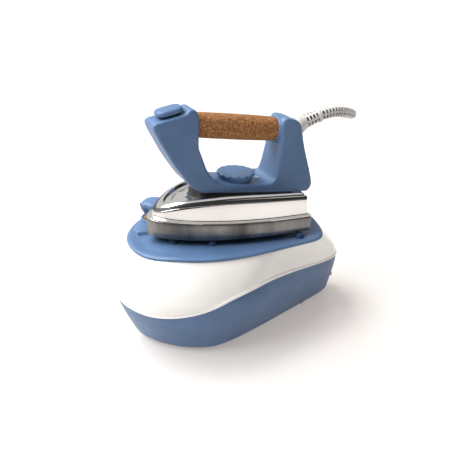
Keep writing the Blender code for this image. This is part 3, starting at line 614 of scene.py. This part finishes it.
def upper_shell():
    """White shell: a rounded lip stands proud along the wavy joint, then the wall leans in to the tray."""
    lip = ((0.0, 0.0012, 0.0002), (0.0, 0.0, 0.0), (0.0, -0.0007, 0.0004), (0.0, -0.001, 0.0012),
           (0.0, -0.001, 0.0022), (0.0, -0.0006, 0.0032), (0.0, 0.0, 0.0042))
    rings = [skin_ring(s, inset, True, lift) for s, inset, lift in lip]
    rings += [skin_ring(0.075 + s * 0.0771, 0.0, True) for s in range(13)]
    rings += [rim_ring(0.0005, -0.0003), rim_ring(0.009, -0.0003), rim_ring(0.009, -WALL)]
    rings += [skin_ring(s, WALL, True) for s in (0.8, 0.5, 0.25, 0.1)]
    rings.append(skin_ring(0.0, WALL, True, 0.0004))
    drawn("shell", rings, "white_plastic", "base", ["upper_shell"], sharp=60.0, join=True)


def rest_tray():
    """Blue tray: a soft rolled rim over a shallow floor that the iron's pads stand on."""
    roll = ((0.004, -0.0002), (0.0012, -0.0001), (-0.0004, 0.0005), (-0.0011, 0.0014), (-0.0013, 0.0026),
            (-0.0009, 0.0037), (0.0002, 0.0045), (0.0018, 0.005), (0.0036, 0.0051), (0.006, 0.0048),
            (0.009, 0.0041), (0.0125, 0.0034), (0.016, 0.0029), (0.02, 0.0026), (0.03, 0.0026), (0.06, 0.0026))
    drawn("tray", [rim_ring(inset, rise) for inset, rise in roll], "blue_plastic", "base", ["rest_tray"])


def filler_deck():
    """Raised corner of the tray that carries the filler neck."""
    plan = [(-0.128, 0.022), (-0.112, 0.0195), (-0.088, 0.0245), (-0.07, 0.032), (-0.06, 0.044), (-0.057, 0.06),
            (-0.062, 0.0715), (-0.072, 0.0735), (-0.088, 0.07), (-0.104, 0.063), (-0.119, 0.05), (-0.129, 0.034)]
    line = soft_line([*plan, plan[0]], 0.003)[:-1]
    rings = []
    for grow, level in ((0.0045, 0.0), (0.003, 0.12), (0.0016, 0.5), (0.0006, 0.82), (-0.0006, 0.95), (-0.0026, 1.0),
                        (-0.02, 1.0)):
        ring = []
        for p in line:
            x, y = p[0], p[1]
            away = Vector((x + 0.095, y - 0.05)).normalized() * grow
            foot = rim_z(x) + 0.0022
            ring.append((x + away.x, y + away.y, foot + (DECK_Z - foot) * level))
        rings.append(ring)
    drawn("filler_deck", rings, "blue_plastic", "base", ["rest_tray"])
    turned("filler_boss", [(0.016, -0.001), (0.02, -0.001), (0.0192, 0.003), (0.016, 0.0034)], "blue_plastic",
           "base", move(CAP_X, CAP_Y, DECK_Z), ["rest_tray"], 56, closed=True, soften=0.001)


def rests():
    """Rubber pads under the sole and two more under its rear corners."""
    tilt = Matrix.Rotation(TILT, 4, "Y")
    for label, x, y in (("front", -0.092, 0.02), ("mid", -0.045, 0.043), ("rear", 0.06, 0.043)):
        floor = rim_z(x) + PAD_FOOT
        top = IRON_Z - math.tan(TILT) * (x - IRON_X) - floor - 0.0003
        for side, sign in (("near", -1), ("far", 1)):
            turned(f"rest_{label}_{side}", [(0.0, 0.0), (0.0064, 0.0), (0.006, 0.003), (0.0044, top * 0.62),
                                            (0.0042, top), (0.0, top)], "blue_rubber", "base",
                   move(x, sign * y, floor) @ tilt, [f"pad_{label}_{side}"], 28, soften=0.0012)
    for side, sign in (("near", -1), ("far", 1)):
        turned(f"stop_{side}", [(0.0, 0.0), (0.0068, 0.0), (0.0064, 0.003), (0.005, 0.0066), (0.004, 0.0074),
                                (0.0, 0.0074)], "blue_rubber", "base",
               move(0.078, sign * 0.0655, rim_z(0.08) + PAD_FOOT) @ tilt, [f"side_stop_{side}"], 28, soften=0.0016)


def feet():
    """Rubber feet under the tub's floor."""
    for label, x, y in (("front_near", -0.092, -0.04), ("front_far", -0.092, 0.04),
                        ("rear_near", 0.11, -0.024), ("rear_far", 0.11, 0.024)):
        turned("rubber_foot_" + label, [(0.0, 0.0), (0.008, 0.0), (0.0092, 0.002), (0.0092, BASE_Z), (0.0, BASE_Z)],
               "rubber", "base", move(x, y, 0.0), ["foot_" + label], 28, soften=0.0008)


def filler_cap():
    """Screw cap: a collar under a rounded knob with four scooped finger dimples."""
    low = DECK_Z + 0.004
    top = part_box("filler_cap")[1][2]
    levels = ((0.0105, low, 0.0), (0.012, low, 0.0), (0.0127, low + 0.001, 0.1), (0.0134, low + 0.004, 0.4),
              (0.0146, low + 0.007, 0.7), (0.0162, low + 0.01, 0.9), (0.0178, low + 0.013, 1.0),
              (0.0189, low + 0.0165, 1.0), (0.0193, low + 0.02, 1.0), (0.019, top - 0.0085, 0.8),
              (0.0183, top - 0.0058, 0.5), (0.017, top - 0.0034, 0.25), (0.0148, top - 0.0016, 0.1),
              (0.0115, top - 0.0006, 0.02), (0.006, top - 0.0001, 0.0))
    turned_by = math.radians(215)
    rings = scalloped(levels, 96, lambda a: 0.005 * (0.5 + 0.5 * math.cos(4 * (a - turned_by))) ** 1.5)
    drawn("filler_knob", rings, "blue_plastic", "cap_knob", ["filler_cap"], move(CAP_X, CAP_Y, 0.0))


def rocker(label, y, centre_x, centre_z):
    """Switch rocker: a shallow hollow face tipped with its lower end pressed in."""
    outline_points = [(-0.003, -0.0088)] + [(0.0042 - 0.0016 * math.cos(math.pi * t / 20) ** 2, 0.0009 * t)
                                             for t in range(-10, 11)] + [(-0.003, 0.0088)]
    place = move(centre_x, y, centre_z) @ Matrix.Rotation(math.radians(-7), 4, "Y")
    bm = bmesh.new()
    rings = [[(x, side, z) for x, z in outline_points] for side in (-0.0058, 0.0058)]
    draw_up(bm, rings)
    edges = [e for e in bm.edges if len(e.link_faces) == 2 and e.calc_face_angle(0.0) > 0.7]
    bmesh.ops.bevel(bm, geom=edges, offset=0.0006, segments=3, profile=0.5, affect="EDGES", material=-1)
    bmesh.ops.transform(bm, matrix=place, verts=bm.verts)
    shown("switch_" + label, bm, "black_plastic", "rocker_" + label, ["rocker_" + label])


def plate(bm, size, place, radius, edge):
    """Flat plate with rounded corners and softened edges."""
    bmesh.ops.create_cube(bm, size=1.0)
    bmesh.ops.scale(bm, vec=size, verts=bm.verts)
    corners = [e for e in bm.edges if abs(e.verts[0].co.x - e.verts[1].co.x) > size[0] * 0.9]
    bmesh.ops.bevel(bm, geom=corners, offset=radius, segments=8, profile=0.5, affect="EDGES", material=-1)
    rims = [e for e in bm.edges if abs(e.verts[0].co.x - e.verts[1].co.x) < size[0] * 0.1
            and e.verts[0].co.x > 0]
    bmesh.ops.bevel(bm, geom=rims, offset=edge, segments=3, profile=0.5, affect="EDGES", material=-1)
    bmesh.ops.transform(bm, matrix=place, verts=bm.verts)


def rear_fittings():
    """Switch plate on the rear wall, with two rockers and a lamp, and the two cord inlets."""
    centre_x, centre_z = PANEL_X, PANEL_Z
    bm = bmesh.new()
    plate(bm, (0.006, 0.052, 0.03), move(centre_x, 0.0, centre_z), 0.003, 0.0009)
    shown("switch_plate", bm, "grey_plastic", "base", ["rear_panel"])
    for label, y in (("main", -0.0165), ("boiler", 0.0015)):
        bm = bmesh.new()
        plate(bm, (0.0012, 0.0142, 0.0212), move(centre_x + 0.003, y, centre_z), 0.0012, 0.0003)
        shown("switch_frame_" + label, bm, "black_plastic", "base", ["rear_panel"])
        rocker(label, y, centre_x + 0.0008, centre_z)
    outward = Matrix.Rotation(math.pi / 2, 4, "Y")
    turned("lamp_lens_rear", [(0.0, 0.0), (0.0042, 0.0), (0.0042, 0.0042), (0.0024, 0.0054), (0.0, 0.0056)],
           "lamp_lens", "base", move(centre_x, 0.017, centre_z) @ outward, ["ready_lamp"], 28, soften=0.001)
    profile = [(0.0034, 0.0), (0.0034, 0.025), (0.0046, 0.025), (0.006, 0.016), (0.0078, 0.015),
               (0.008, 0.012), (0.006, 0.0115), (0.006, 0.0)]
    turned("mains_inlet", profile, "rubber", "base", move(0.16, 0.0, 0.0205) @ outward, ["mains_gland"], 32,
           closed=True, soften=0.0007)
    sideways = move(GLAND.x, 0.0, GLAND.z) @ Matrix.Rotation(-math.pi / 2, 4, "X")
    profile = [(0.0072, 0.06), (0.009, 0.06), (0.009, 0.074), (0.0125, 0.0745), (0.0125, 0.08),
               (0.0102, 0.082), (0.0098, 0.09), (0.009, 0.0905), (0.0088, 0.099), (0.0072, 0.099)]
    turned("hose_inlet", profile, "grey_plastic", "base", sideways, ["hose_gland"], 40, closed=True, soften=0.0006)


# ---------------------------------------------------------------- iron

def sole_line(inset=0.0, count=46):
    """Near side of the sole's outline, tip to rear."""
    points = []
    round_length = 0.19
    length = SOLE_LENGTH - inset * 2.6
    for i in range(count + 1):
        u = round_length * (i / count) ** 1.8
        m = 1 - u / round_length
        half = (SOLE_HALF - inset) * (1 - m * m) ** 0.6
        points.append((-SOLE_LENGTH / 2 + inset * 1.6 + u * (length / SOLE_LENGTH), -half))
    rear = SOLE_LENGTH / 2 + 0.003 - inset
    half = SOLE_HALF - inset
    points.append((rear - 0.018, -half))
    points.append((rear - 0.01, -half))
    radius = 0.004
    for i in range(7):
        a = math.pi / 2 * i / 6
        points.append((rear - radius + radius * math.sin(a), -half + radius - radius * math.cos(a)))
    points += [(rear, -min(y, (half - radius) * share)) for y, share in
               ((0.04, 0.95), (0.037, 0.85), (0.034, 0.75), (0.0305, 0.65), (0.015, 0.3), (0.0, 0.0))]
    return points


def sole_ring(inset, level, lift=0.0):
    """Ring round the sole's outline, a lift above a level that changes along it."""
    return whole([(x, y, level(x) + lift) for x, y in sole_line(inset)])


def sole_face(x):
    return 0.0


def sole_top(x):
    return SOLE_FRONT + (SOLE_REAR - SOLE_FRONT) * (x + SOLE_LENGTH / 2) / SOLE_LENGTH


def cover_top(x):
    return ease(COVER_TOP, x)


def in_iron(name, rings, finish, replaces, **how):
    """A piece drawn up in the iron's own frame."""
    return drawn(name, rings, finish, "iron", [replaces], iron_place(), **how)


def soleplate():
    """Cast sole with a straight skirt, softened along both edges."""
    rings = [sole_ring(*row) for row in ((0.03, sole_face), (0.0016, sole_face), (0.0006, sole_face, 0.0004),
                                         (0.0, sole_face, 0.0014))]
    rings += [sole_ring(0.0, lambda x, s=share: 0.0014 + (sole_top(x) - 0.0028) * s) for share in (0.33, 0.66, 1.0)]
    rings += [sole_ring(*row) for row in ((0.0004, sole_top, -0.0005), (0.0012, sole_top), (0.025, sole_top))]
    in_iron("sole", rings, "sole_metal", "soleplate")


def vents():
    """Steam outlets in the sole's face, each a small sunk cup drawn in black: painted shade for the hole's dark inside.
    """
    for i in range(9):
        x = -0.082 + 0.014 * i
        for side, sign in (("near", -1), ("far", 1)):
            y = sign * (0.006 + 0.0042 * i)
            profile = rounded([(0.0, 0.0007), (0.0022, 0.0007), (0.003, -0.0002), (0.0, -0.0002)], 0.0003, 3)
            turned(f"steam_outlet_{side}_{i}", profile, "black_plastic", "iron", iron_place(x, y, 0.0), (), 16)


def bead_ring(inset, share, lift=0.0):
    """Ring a share of the way from flange to the bead's top, which dips behind the handle's rear post."""
    points = []
    for x, y in sole_line(inset):
        beside = ease(((0.0305, 0.0), (0.038, 1.0)), max(0.0305, abs(y))) if x > 0.08 else 1.0
        top = cover_top(x) + (flowing(BEAD_TOP, x) - cover_top(x)) * beside
        foot = sole_top(x) + 0.0018
        points.append((x, y, foot + (top - foot) * share + lift))
    return whole(points)


def iron_cover():
    """Pressed chrome cover: turned-out flange, tall flat side, sunk line and a rounded bead round the crown."""
    rings = [sole_ring(inset, sole_top, lift) for inset, lift in
             ((0.0016, 0.0003), (0.0004, 0.0004), (0.0, 0.0008), (0.0001, 0.0014), (0.0008, 0.0018),
              (0.0022, 0.0019), (0.0036, 0.0021))]
    rings += [bead_ring(inset, share) for inset, share in
              ((0.0043, 0.03), (0.0046, 0.07), (0.0048, 0.15), (0.0051, 0.35), (0.0054, 0.55), (0.0057, 0.72),
               (0.006, 0.745), (0.0068, 0.758), (0.0082, 0.765), (0.0088, 0.78), (0.0088, 0.815), (0.0084, 0.84),
               (0.0084, 0.88), (0.0089, 0.925), (0.0097, 0.962), (0.0108, 0.988), (0.012, 1.0), (0.0132, 0.996),
               (0.0144, 0.98))]
    rings += [sole_ring(0.0165, cover_top, 0.0004), sole_ring(0.0215, cover_top), sole_ring(0.0215, cover_top, -0.001),
              bead_ring(0.015, 0.85), bead_ring(0.011, 0.8), bead_ring(0.0085, 0.5), sole_ring(0.005, sole_top, 0.0004)]
    in_iron("cover", rings, "chrome", "iron_cover", sharp=50.0, join=True)


def dark_reflection_strip():
    """Black strip in the sunk line between the cover's side and its bead, thickest along the middle: a painted
    reflection of the dark room that the chrome there reflects.
    """
    def edge(inset, share, spread):
        ring = []
        for x, y, z in bead_ring(inset, share):
            swell = ease(((-0.105, 0.0), (-0.06, 1.0), (0.02, 0.9), (0.1, 0.25)), x)
            ring.append((x, y, z + spread * (0.3 + 0.7 * swell)))
        return ring
    rings = [edge(0.01, 0.8, -0.0016), edge(0.0062, 0.785, -0.0016), edge(0.0056, 0.8, 0.0),
             edge(0.0066, 0.825, 0.0018), edge(0.01, 0.84, 0.0018)]
    in_iron("dark_reflection_strip", rings, "black_plastic", "iron_cover", join=True)


def crown():
    """Chrome crown inside the bead, which the handle's black foot stands on."""
    rings = [sole_ring(inset, cover_top, lift) for inset, lift in ((0.019, -0.002), (0.019, -0.0002), (0.03, 0.0002))]
    in_iron("crown", rings, "chrome", "cover_plate")


def slab_under(x):
    return 0.0606 - 0.1055 * (x + 0.045)


def spacer():
    """Black insulating foot between cover and handle, a wedge that thins toward the rear."""
    line = soft_line([(-0.047, 0.0, 0.0), (-0.045, -0.01, 0.0), (-0.03, -0.0215, 0.0), (0.01, -0.0245, 0.0),
                      (0.06, -0.0255, 0.0), (0.098, -0.0258, 0.0), (0.1035, -0.02, 0.0), (0.1045, 0.0, 0.0)], 0.004)
    ring = whole([(p[0], p[1]) for p in line])
    rings = []
    middle, sunk = 0.03, 0.001
    for grow, share in ((1.03, 0.0), (1.0, 0.15), (0.985, 0.9), (0.96, 1.0)):
        rings.append([(middle + (x - middle) * grow, y * grow,
                       cover_top(x) - sunk + (slab_under(x) + 0.0005 - cover_top(x) + sunk) * share)
                      for x, y in ring])
    in_iron("heat_spacer", rings, "black_plastic", "thermal_spacer")


FRONT_POST = ((-0.04, 0.0604), (-0.056, 0.071), (-0.069, 0.088), (-0.0812, 0.106), (-0.0905, 0.1224),
              (-0.0996, 0.1387), (-0.104, 0.149), (-0.1038, 0.153), (-0.1005, 0.1552), (-0.096, 0.1562),
              (-0.08, 0.1596), (-0.06, 0.164))
HUMP = ((-0.06, 0.164), (-0.0572, 0.1672), (-0.053, 0.1697), (-0.048, 0.1688), (-0.044, 0.164),
        (-0.0428, 0.156))
FRONT_INNER = ((-0.0435, 0.1352), (-0.0432, 0.1192), (-0.0402, 0.1109), (-0.0372, 0.1025), (-0.0341, 0.0939),
               (-0.0296, 0.0851), (-0.022, 0.0758), (-0.01, 0.0695), (0.01, 0.0663), (0.03, 0.0645))
REAR_INNER = ((0.056, 0.0612), (0.064, 0.0622), (0.07, 0.067), (0.0728, 0.076), (0.0748, 0.088),
              (0.0772, 0.1078), (0.0788, 0.125), (0.0796, 0.14))
REAR_OUTER = ((0.0815, 0.1475), (0.087, 0.1492), (0.0985, 0.1465), (0.1065, 0.1415), (0.1103, 0.1318),
              (0.1138, 0.1144), (0.1185, 0.0965), (0.1241, 0.0782), (0.129, 0.06), (0.129, 0.052),
              (0.1262, 0.0462), (0.1205, 0.0436))
SLAB = ((0.1205, 0.0436), (0.08, 0.0474), (0.03, 0.0527), (-0.02, 0.058), (-0.034, 0.0596), (-0.04, 0.0604))


def handle_half_width(z):
    return 0.029 - 0.105 * (z - 0.055)


def handle_body():
    """One moulded loop: leaning front post, slab and rear post with its collar, all edges well rounded."""
    line = []
    for stretch in (FRONT_POST, HUMP, (HUMP[-1], *FRONT_INNER, *REAR_INNER, *REAR_OUTER), SLAB):
        line += soft_line([(x, 0.0, z) for x, z in stretch], 0.003)[:-1]
    bm = bmesh.new()
    verts = [bm.verts.new((p.x, -handle_half_width(p.z), p.z)) for p in line]
    edges = [bm.edges.new(pair) for pair in zip(verts, verts[1:] + verts[:1])]
    bmesh.ops.triangle_fill(bm, edges=edges, use_beauty=True)
    grown = bmesh.ops.extrude_face_region(bm, geom=bm.faces[:])["geom"]
    for part in grown:
        if isinstance(part, bmesh.types.BMVert):
            part.co.y = handle_half_width(part.co.z)
    bmesh.ops.recalc_face_normals(bm, faces=bm.faces)
    grip, length = grip_place()
    back = iron_place().inverted() @ grip
    spun(bm, [(0.0, length - 0.0045), (0.0186, length - 0.0045), (0.019, length + 0.007), (0.0, length + 0.007)],
         48, back)
    spun(bm, [(0.0, 0.059), (0.019, 0.059), (0.017, 0.0664), (0.0, 0.0664)], 48, move(DIAL_X, 0.0, 0.0))
    bmesh.ops.transform(bm, matrix=iron_place(), verts=bm.verts)
    bmesh.ops.recalc_face_normals(bm, faces=bm.faces)
    body = shown("handle", bm, "blue_plastic", "iron", ["handle_body"], sharp=180.0)
    melt(body, 0.0012, 14)


def lozenge(half_x, half_y, height, count=64):
    ring = []
    for i in range(count):
        a = 2 * math.pi * i / count
        c, s = math.cos(a), math.sin(a)
        ring.append((half_x * math.copysign(abs(c) ** 0.6, c), half_y * math.copysign(abs(s) ** 0.7, s), height))
    return ring


def steam_button():
    """Lozenge cap of the steam button, rounded all over, on a hollow stem that sinks into the post."""
    place = iron_place() @ Matrix.Translation(BUTTON_AT) @ Matrix.Rotation(-BUTTON_SLANT, 4, "Y")
    levels = ((0.0122, 0.0055, 0.0046), (0.0125, 0.0058, 0.0044), (0.0125, 0.0058, 0.0004), (0.0128, 0.006, 0.0002),
              (0.014, 0.0067, 0.0002), (0.0143, 0.007, 0.0006), (0.0143, 0.007, 0.0048), (0.0166, 0.012, 0.0052),
              (0.0176, 0.0131, 0.006), (0.018, 0.0135, 0.0074), (0.0179, 0.0134, 0.0088), (0.0174, 0.0129, 0.0102),
              (0.0162, 0.0117, 0.0114), (0.014, 0.0095, 0.0121), (0.008, 0.005, 0.0124))
    drawn("button", [lozenge(*level) for level in levels], "blue_plastic", "steam_button", ["steam_button"], place)


def grip_place():
    """Place of the grip's front end, its Z along the grip, and the grip's length."""
    axis = GRIP_REAR - GRIP_FRONT
    turn = axis.to_track_quat("Z", "Y").to_matrix().to_4x4()
    return iron_place() @ Matrix.Translation(GRIP_FRONT) @ turn, axis.length


def cork_grip():
    """Barrel of pressed cork between the posts."""
    place, length = grip_place()
    start, end = 0.001, length - 0.001
    profile = [(0.0, start), (GRIP_R - 0.0012, start), (GRIP_R - 0.0004, start + 0.001)]
    for i in range(15):
        t = i / 14
        profile.append((GRIP_R + 0.0006 * math.sin(math.pi * t), start + 0.0022 + (end - start - 0.0044) * t))
    profile += [(GRIP_R - 0.0004, end - 0.001), (GRIP_R - 0.0012, end), (0.0, end)]
    turned("cork_barrel", profile, "cork", "iron", place, ["cork_grip"], 72)


def dial():
    """Thermostat dial: a thin disc with fourteen notches over a skirt that narrows to a boss."""
    levels = ((0.0222, 0.0656, 0.0), (0.0232, 0.066, 0.0), (0.024, 0.069, 0.0), (0.0247, 0.0718, 0.1),
              (0.0252, 0.0724, 0.6), (0.0262, 0.0727, 1.0), (0.0266, 0.0734, 1.0), (0.0265, 0.0745, 1.0),
              (0.026, 0.0753, 0.9), (0.025, 0.0757, 0.7), (0.0228, 0.0758, 0.2), (0.02, 0.0757, 0.0),
              (0.006, 0.0756, 0.0))
    rings = scalloped(levels, 168, lambda a: 0.002 * max(0.0, math.cos(14 * a)) ** 2.0)
    drawn("dial", rings, "blue_plastic", "temperature_dial", ["temperature_dial"], iron_place(DIAL_X, 0.0, 0.0))


def pilot():
    """Index lamp between dial and rear post."""
    turned("index_lamp", [(0.0, 0.0), (0.0036, 0.0), (0.0033, 0.0014), (0.0, 0.0019)], "lamp_lens", "iron",
           iron_place(0.055, 0.0, 0.0612), ["pilot_lamp"], 28, soften=0.0006)


# ---------------------------------------------------------------- hose

def hose_exit():
    """Place of the hose's way out of the rear post, its Z along the hose."""
    return iron_place(*HOSE_EXIT) @ HOSE_HEADING.to_track_quat("Z", "Y").to_matrix().to_4x4()


def hose_route():
    """Centre line: out of the iron, over and down behind it, round the coil and into the base."""
    place = hose_exit()
    points = [place @ Vector((0.0, 0.0, z)) for z in (0.016, 0.03, BOOT_END + 0.004)]
    points += [(0.17, 0.005, 0.2905), (0.197, 0.015, 0.2845), (0.226, 0.037, 0.273),
               (0.248, 0.07, 0.262), (0.257, 0.108, 0.253), (0.251, 0.143, 0.247),
               (0.233, 0.171, 0.239), (0.215, 0.189, 0.222), (0.201, 0.199, 0.196),
               (0.195, 0.204, 0.165), (0.193, 0.2065, 0.133), (0.1937, 0.2115, 0.102),
               (0.195, 0.224, 0.076), (0.1955, 0.243, 0.056), (0.1935, 0.264, 0.046)]
    low = HOSE_R + 0.0004
    for i in range(2, COIL_POINTS):
        a = COIL_TURN * i / COIL_POINTS
        points.append((COIL_X + COIL_R * math.cos(a), COIL_Y + COIL_R * math.sin(a),
                       low + COIL_PITCH * (COIL_TURN - a) / (2 * math.pi)))
    points += [(0.056, 0.202, low + 0.0004), (0.064, 0.178, 0.011), (0.071, 0.157, 0.0195),
               (0.0745, 0.14, 0.03), (0.075, 0.123, 0.0395), (0.075, 0.108, 0.0442), (0.075, 0.093, 0.045)]
    return soft_line(points, 0.004)


def frames_along(path):
    """A place at each point of the path, its Z along it, turning as little as it can."""
    places = []
    side = Vector((0.0, 1.0, 0.0))
    for i, point in enumerate(path):
        ahead = (path[min(i + 1, len(path) - 1)] - path[max(i - 1, 0)]).normalized()
        side = (side - ahead * side.dot(ahead)).normalized()
        up = ahead.cross(side)
        places.append(Matrix((side, up, ahead)).transposed().to_4x4())
        places[-1].translation = point
    return places


def circle(place, radius, count):
    turns = (2 * math.pi * i / count for i in range(count))
    return [place @ Vector((radius * math.cos(a), radius * math.sin(a), 0.0)) for a in turns]


def steam_hose():
    """Braided hose as one tube along its route; under the bend sleeve it is the bare dark core."""
    path = hose_route()
    places = frames_along(path)
    count = 24
    rings, walked = [], []
    run = 0.0
    for i, place in enumerate(places):
        run += (path[i] - path[i - 1]).length if i else 0.0
        walked.append(run)
        share = min(1.0, max(0.0, (run - SLEEVE_TO + 0.012) / 0.008))
        rings.append(circle(place, CORE_R + (HOSE_R - CORE_R) * share, count))
    bm = bmesh.new()
    draw_up(bm, rings)
    order = bm.verts.layers.int.get("order")
    near = {i: min(range(len(path)), key=lambda k, v=v: (path[k] - v.co).length) for i, v in enumerate(bm.verts)}
    bm.verts.index_update()
    loops = bm.loops.layers.uv.new("along")
    for face in bm.faces:
        columns = [loop.vert[order] for loop in face.loops]
        wraps = max(columns) - min(columns) > 2
        for loop in face.loops:
            column = loop.vert[order] + (count if wraps and loop.vert[order] < 2 else 0)
            run = walked[near[loop.vert.index]]
            loop[loops].uv = (column / count * 2 * math.pi, run / HOSE_R)
    hose = shown("steam_hose", bm, "hose_fabric", None, ["steam_hose_upper", "steam_hose_lower", "steam_hose_coil"])
    hose.data.materials.append(DARK_CORE)
    for face in hose.data.polygons:
        centre = face.center
        # The sleeve ends well within the route's first 60 points.
        k = min(range(60), key=lambda j: (path[j] - centre).length)
        if walked[k] < SLEEVE_TO - 0.008 and (path[k] - centre).length < 0.012:
            face.material_index = 1
    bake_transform(hose)
    return hose, path, places, walked


def slotted_sleeve(name, places, walked, start, end, radii, pitch):
    """Bend sleeve: a moulded tube with six rows of narrow slots that let it flex."""
    spans = round((end - start) / pitch)
    columns = 36
    fractions = (0.0, 0.22, 0.78)
    marks = [start + (n + f) * (end - start) / spans for n in range(spans) for f in fractions] + [end]
    rings = []
    for mark in marks:
        k = max(1, next((j for j, w in enumerate(walked) if w >= mark), len(walked) - 1))
        t = (mark - walked[k - 1]) / max(1e-9, walked[k] - walked[k - 1])
        radius = radii[0] + (radii[1] - radii[0]) * (mark - start) / (end - start)
        rings.append(circle(places[k - 1].lerp(places[k], t), radius, columns))
    bm = bmesh.new()
    draw_up(bm, rings, cap_start=False, cap_end=False)
    lookup = {tuple(round(v, 6) for v in p): (k, c) for k, ring in enumerate(rings) for c, p in enumerate(ring)}
    slots = []
    for face in bm.faces:
        cells = [lookup.get(tuple(round(v, 6) for v in vert.co)) for vert in face.verts]
        if None in cells:
            continue
        row = min(cell[0] for cell in cells)
        hit = [cell[1] for cell in cells]
        column = min(hit) if max(hit) - min(hit) < 2 else columns - 1
        if row % 3 == 1 and column % 6 < 4:
            slots.append(face)
    bmesh.ops.delete(bm, geom=slots, context="FACES")
    bmesh.ops.recalc_face_normals(bm, faces=bm.faces)
    bmesh.ops.solidify(bm, geom=bm.faces[:], thickness=0.0012)
    shown(name, bm, "grey_plastic", "iron", ["hose_boot"], sharp=40.0)


def hose_fittings():
    """Collar on the post and the end ring of the bend boot."""
    collar = [(0.0058, -0.004), (0.009, -0.004), (0.009, 0.003), (0.0132, 0.004), (0.0136, 0.0075),
              (0.0122, 0.011), (0.01, 0.0175), (0.0058, 0.0175)]
    turned("hose_collar_cone", collar, "grey_plastic", "iron", hose_exit(), ["hose_collar"], 56, closed=True,
           soften=0.001)
    ring = [(0.006, 0.0385), (0.0088, 0.0385), (0.0096, 0.04), (0.0096, 0.0425), (0.0084, 0.044), (0.006, 0.044)]
    turned("boot_ring", ring, "grey_plastic", "iron", hose_exit(), ["hose_boot"], closed=True, soften=0.0006)


def make_hose():
    """The hose with its fittings."""
    hose, path, places, walked = steam_hose()
    hose_fittings()
    slotted_sleeve("slotted_boot", places, walked, BOOT_FROM, BOOT_TO, (0.0094, 0.0082), 0.0058)
    slotted_sleeve("slotted_sleeve", places, walked, SLEEVE_FROM, SLEEVE_TO, (0.0079, 0.0075), 0.0062)
    tuple(hose_exit() @ Vector((0.0, 0.0, 0.016)))


# ---------------------------------------------------------------- studio

def camera():
    """Three-quarter view from above on the station's near side, tip to the left."""
    data = bpy.data.cameras.new("view")
    data.sensor_width = 36.0
    data.lens = 46.23
    obj = placed("view", data)
    back = Vector((-0.3846, -0.8086, 0.4452))
    obj.location = Vector((0.0, 0.0, 0.14)) + back.normalized() * 0.8473
    obj.rotation_euler = back.to_track_quat("Z", "Y").to_euler()
    bpy.context.scene.camera = obj


def floor():
    """Plain pale table top, far wider than the view."""
    bm = bmesh.new()
    bmesh.ops.create_grid(bm, x_segments=1, y_segments=1, size=12.0)
    mesh = mesh_from("sweep", bm)
    # White acrylic lit softly from below, slightly glossy so that it holds a faint reflection.
    mesh.materials.append(plain_finish("white acrylic table", ("b4b3b2", "b7b6b5", 0.8), (0.3, 0.36, 0.5),
                                       IOR=1.35, Emission_Color=(1.0, 0.9, 0.84, 1.0), Emission_Strength=0.34))
    placed("sweep", mesh)


def room():
    """White studio: bright above, behind and on the left, with a dark low band in front."""
    world = bpy.data.worlds.new("studio")
    bpy.context.scene.world = world
    world.use_nodes = True
    tree = world.node_tree
    tree.nodes.clear()
    way = node(tree, "TexCoord").outputs["Generated"]
    front = node(tree, "VectorMath", {0: way, 1: (0.45, -0.89, 0.0)}, operation="DOT_PRODUCT")
    height = node(tree, "SeparateXYZ", {"Vector": way}).outputs["Z"]
    facing = node(tree, "MapRange", {"Value": front.outputs["Value"], "From Min": -0.5, "From Max": 0.25},
                  interpolation_type="SMOOTHSTEP")
    low = node(tree, "MapRange", {"Value": height, "From Min": 0.75, "From Max": 0.45}, interpolation_type="SMOOTHSTEP")
    dark = node(tree, "Math", {0: facing.outputs[0], 1: low.outputs[0]}, operation="MULTIPLY")
    strength = node(tree, "MapRange", {"Value": dark.outputs[0], "To Min": 0.7, "To Max": 0.03})
    # Seen directly the room is plain white; the band only shapes what the chrome picks up.
    direct = node(tree, "LightPath").outputs["Is Camera Ray"]
    seen = node(tree, "Math", {0: strength.outputs[0], 1: direct}, operation="MAXIMUM")
    glow = node(tree, "Background", {"Color": (1.0, 0.985, 0.97, 1.0), "Strength": seen.outputs[0]})
    node(tree, "OutputWorld", {"Surface": glow.outputs[0]})


def sun(name, toward, spread, strength, colour):
    """Broad soft light from one direction."""
    data = bpy.data.lights.new(name, "SUN")
    data.angle = math.radians(spread)
    data.energy = strength
    data.color = colour
    placed(name, data).rotation_euler = Vector(toward).to_track_quat("Z", "Y").to_euler()


def lights():
    sun("overhead", (-0.35, 0.45, 0.82), 40.0, 3.6, (1.0, 0.99, 0.975))
    sun("left", (-0.7, 0.0, 0.71), 30.0, 2.3, (1.0, 0.99, 0.975))


def dress_frame():
    """Gives each CAD node that stays the finish of its record slot."""
    slots = {entry["node"]: entry["material_slot"] for entry in frame["record"]["subparts"]}
    for name, obj in frame["nodes"].items():
        obj.data.materials.clear()
        obj.data.materials.append(FINISH[slots[name]])


def main():
    bpy.context.scene.view_settings.view_transform = "Standard"
    camera()
    make_hose()
    dress_frame()
    lower_tub()
    upper_shell()
    rest_tray()
    filler_deck()
    rests()
    feet()
    filler_cap()
    rear_fittings()
    soleplate()
    vents()
    iron_cover()
    dark_reflection_strip()
    crown()
    spacer()
    handle_body()
    steam_button()
    cork_grip()
    dial()
    pilot()
    floor()
    room()
    lights()


main()
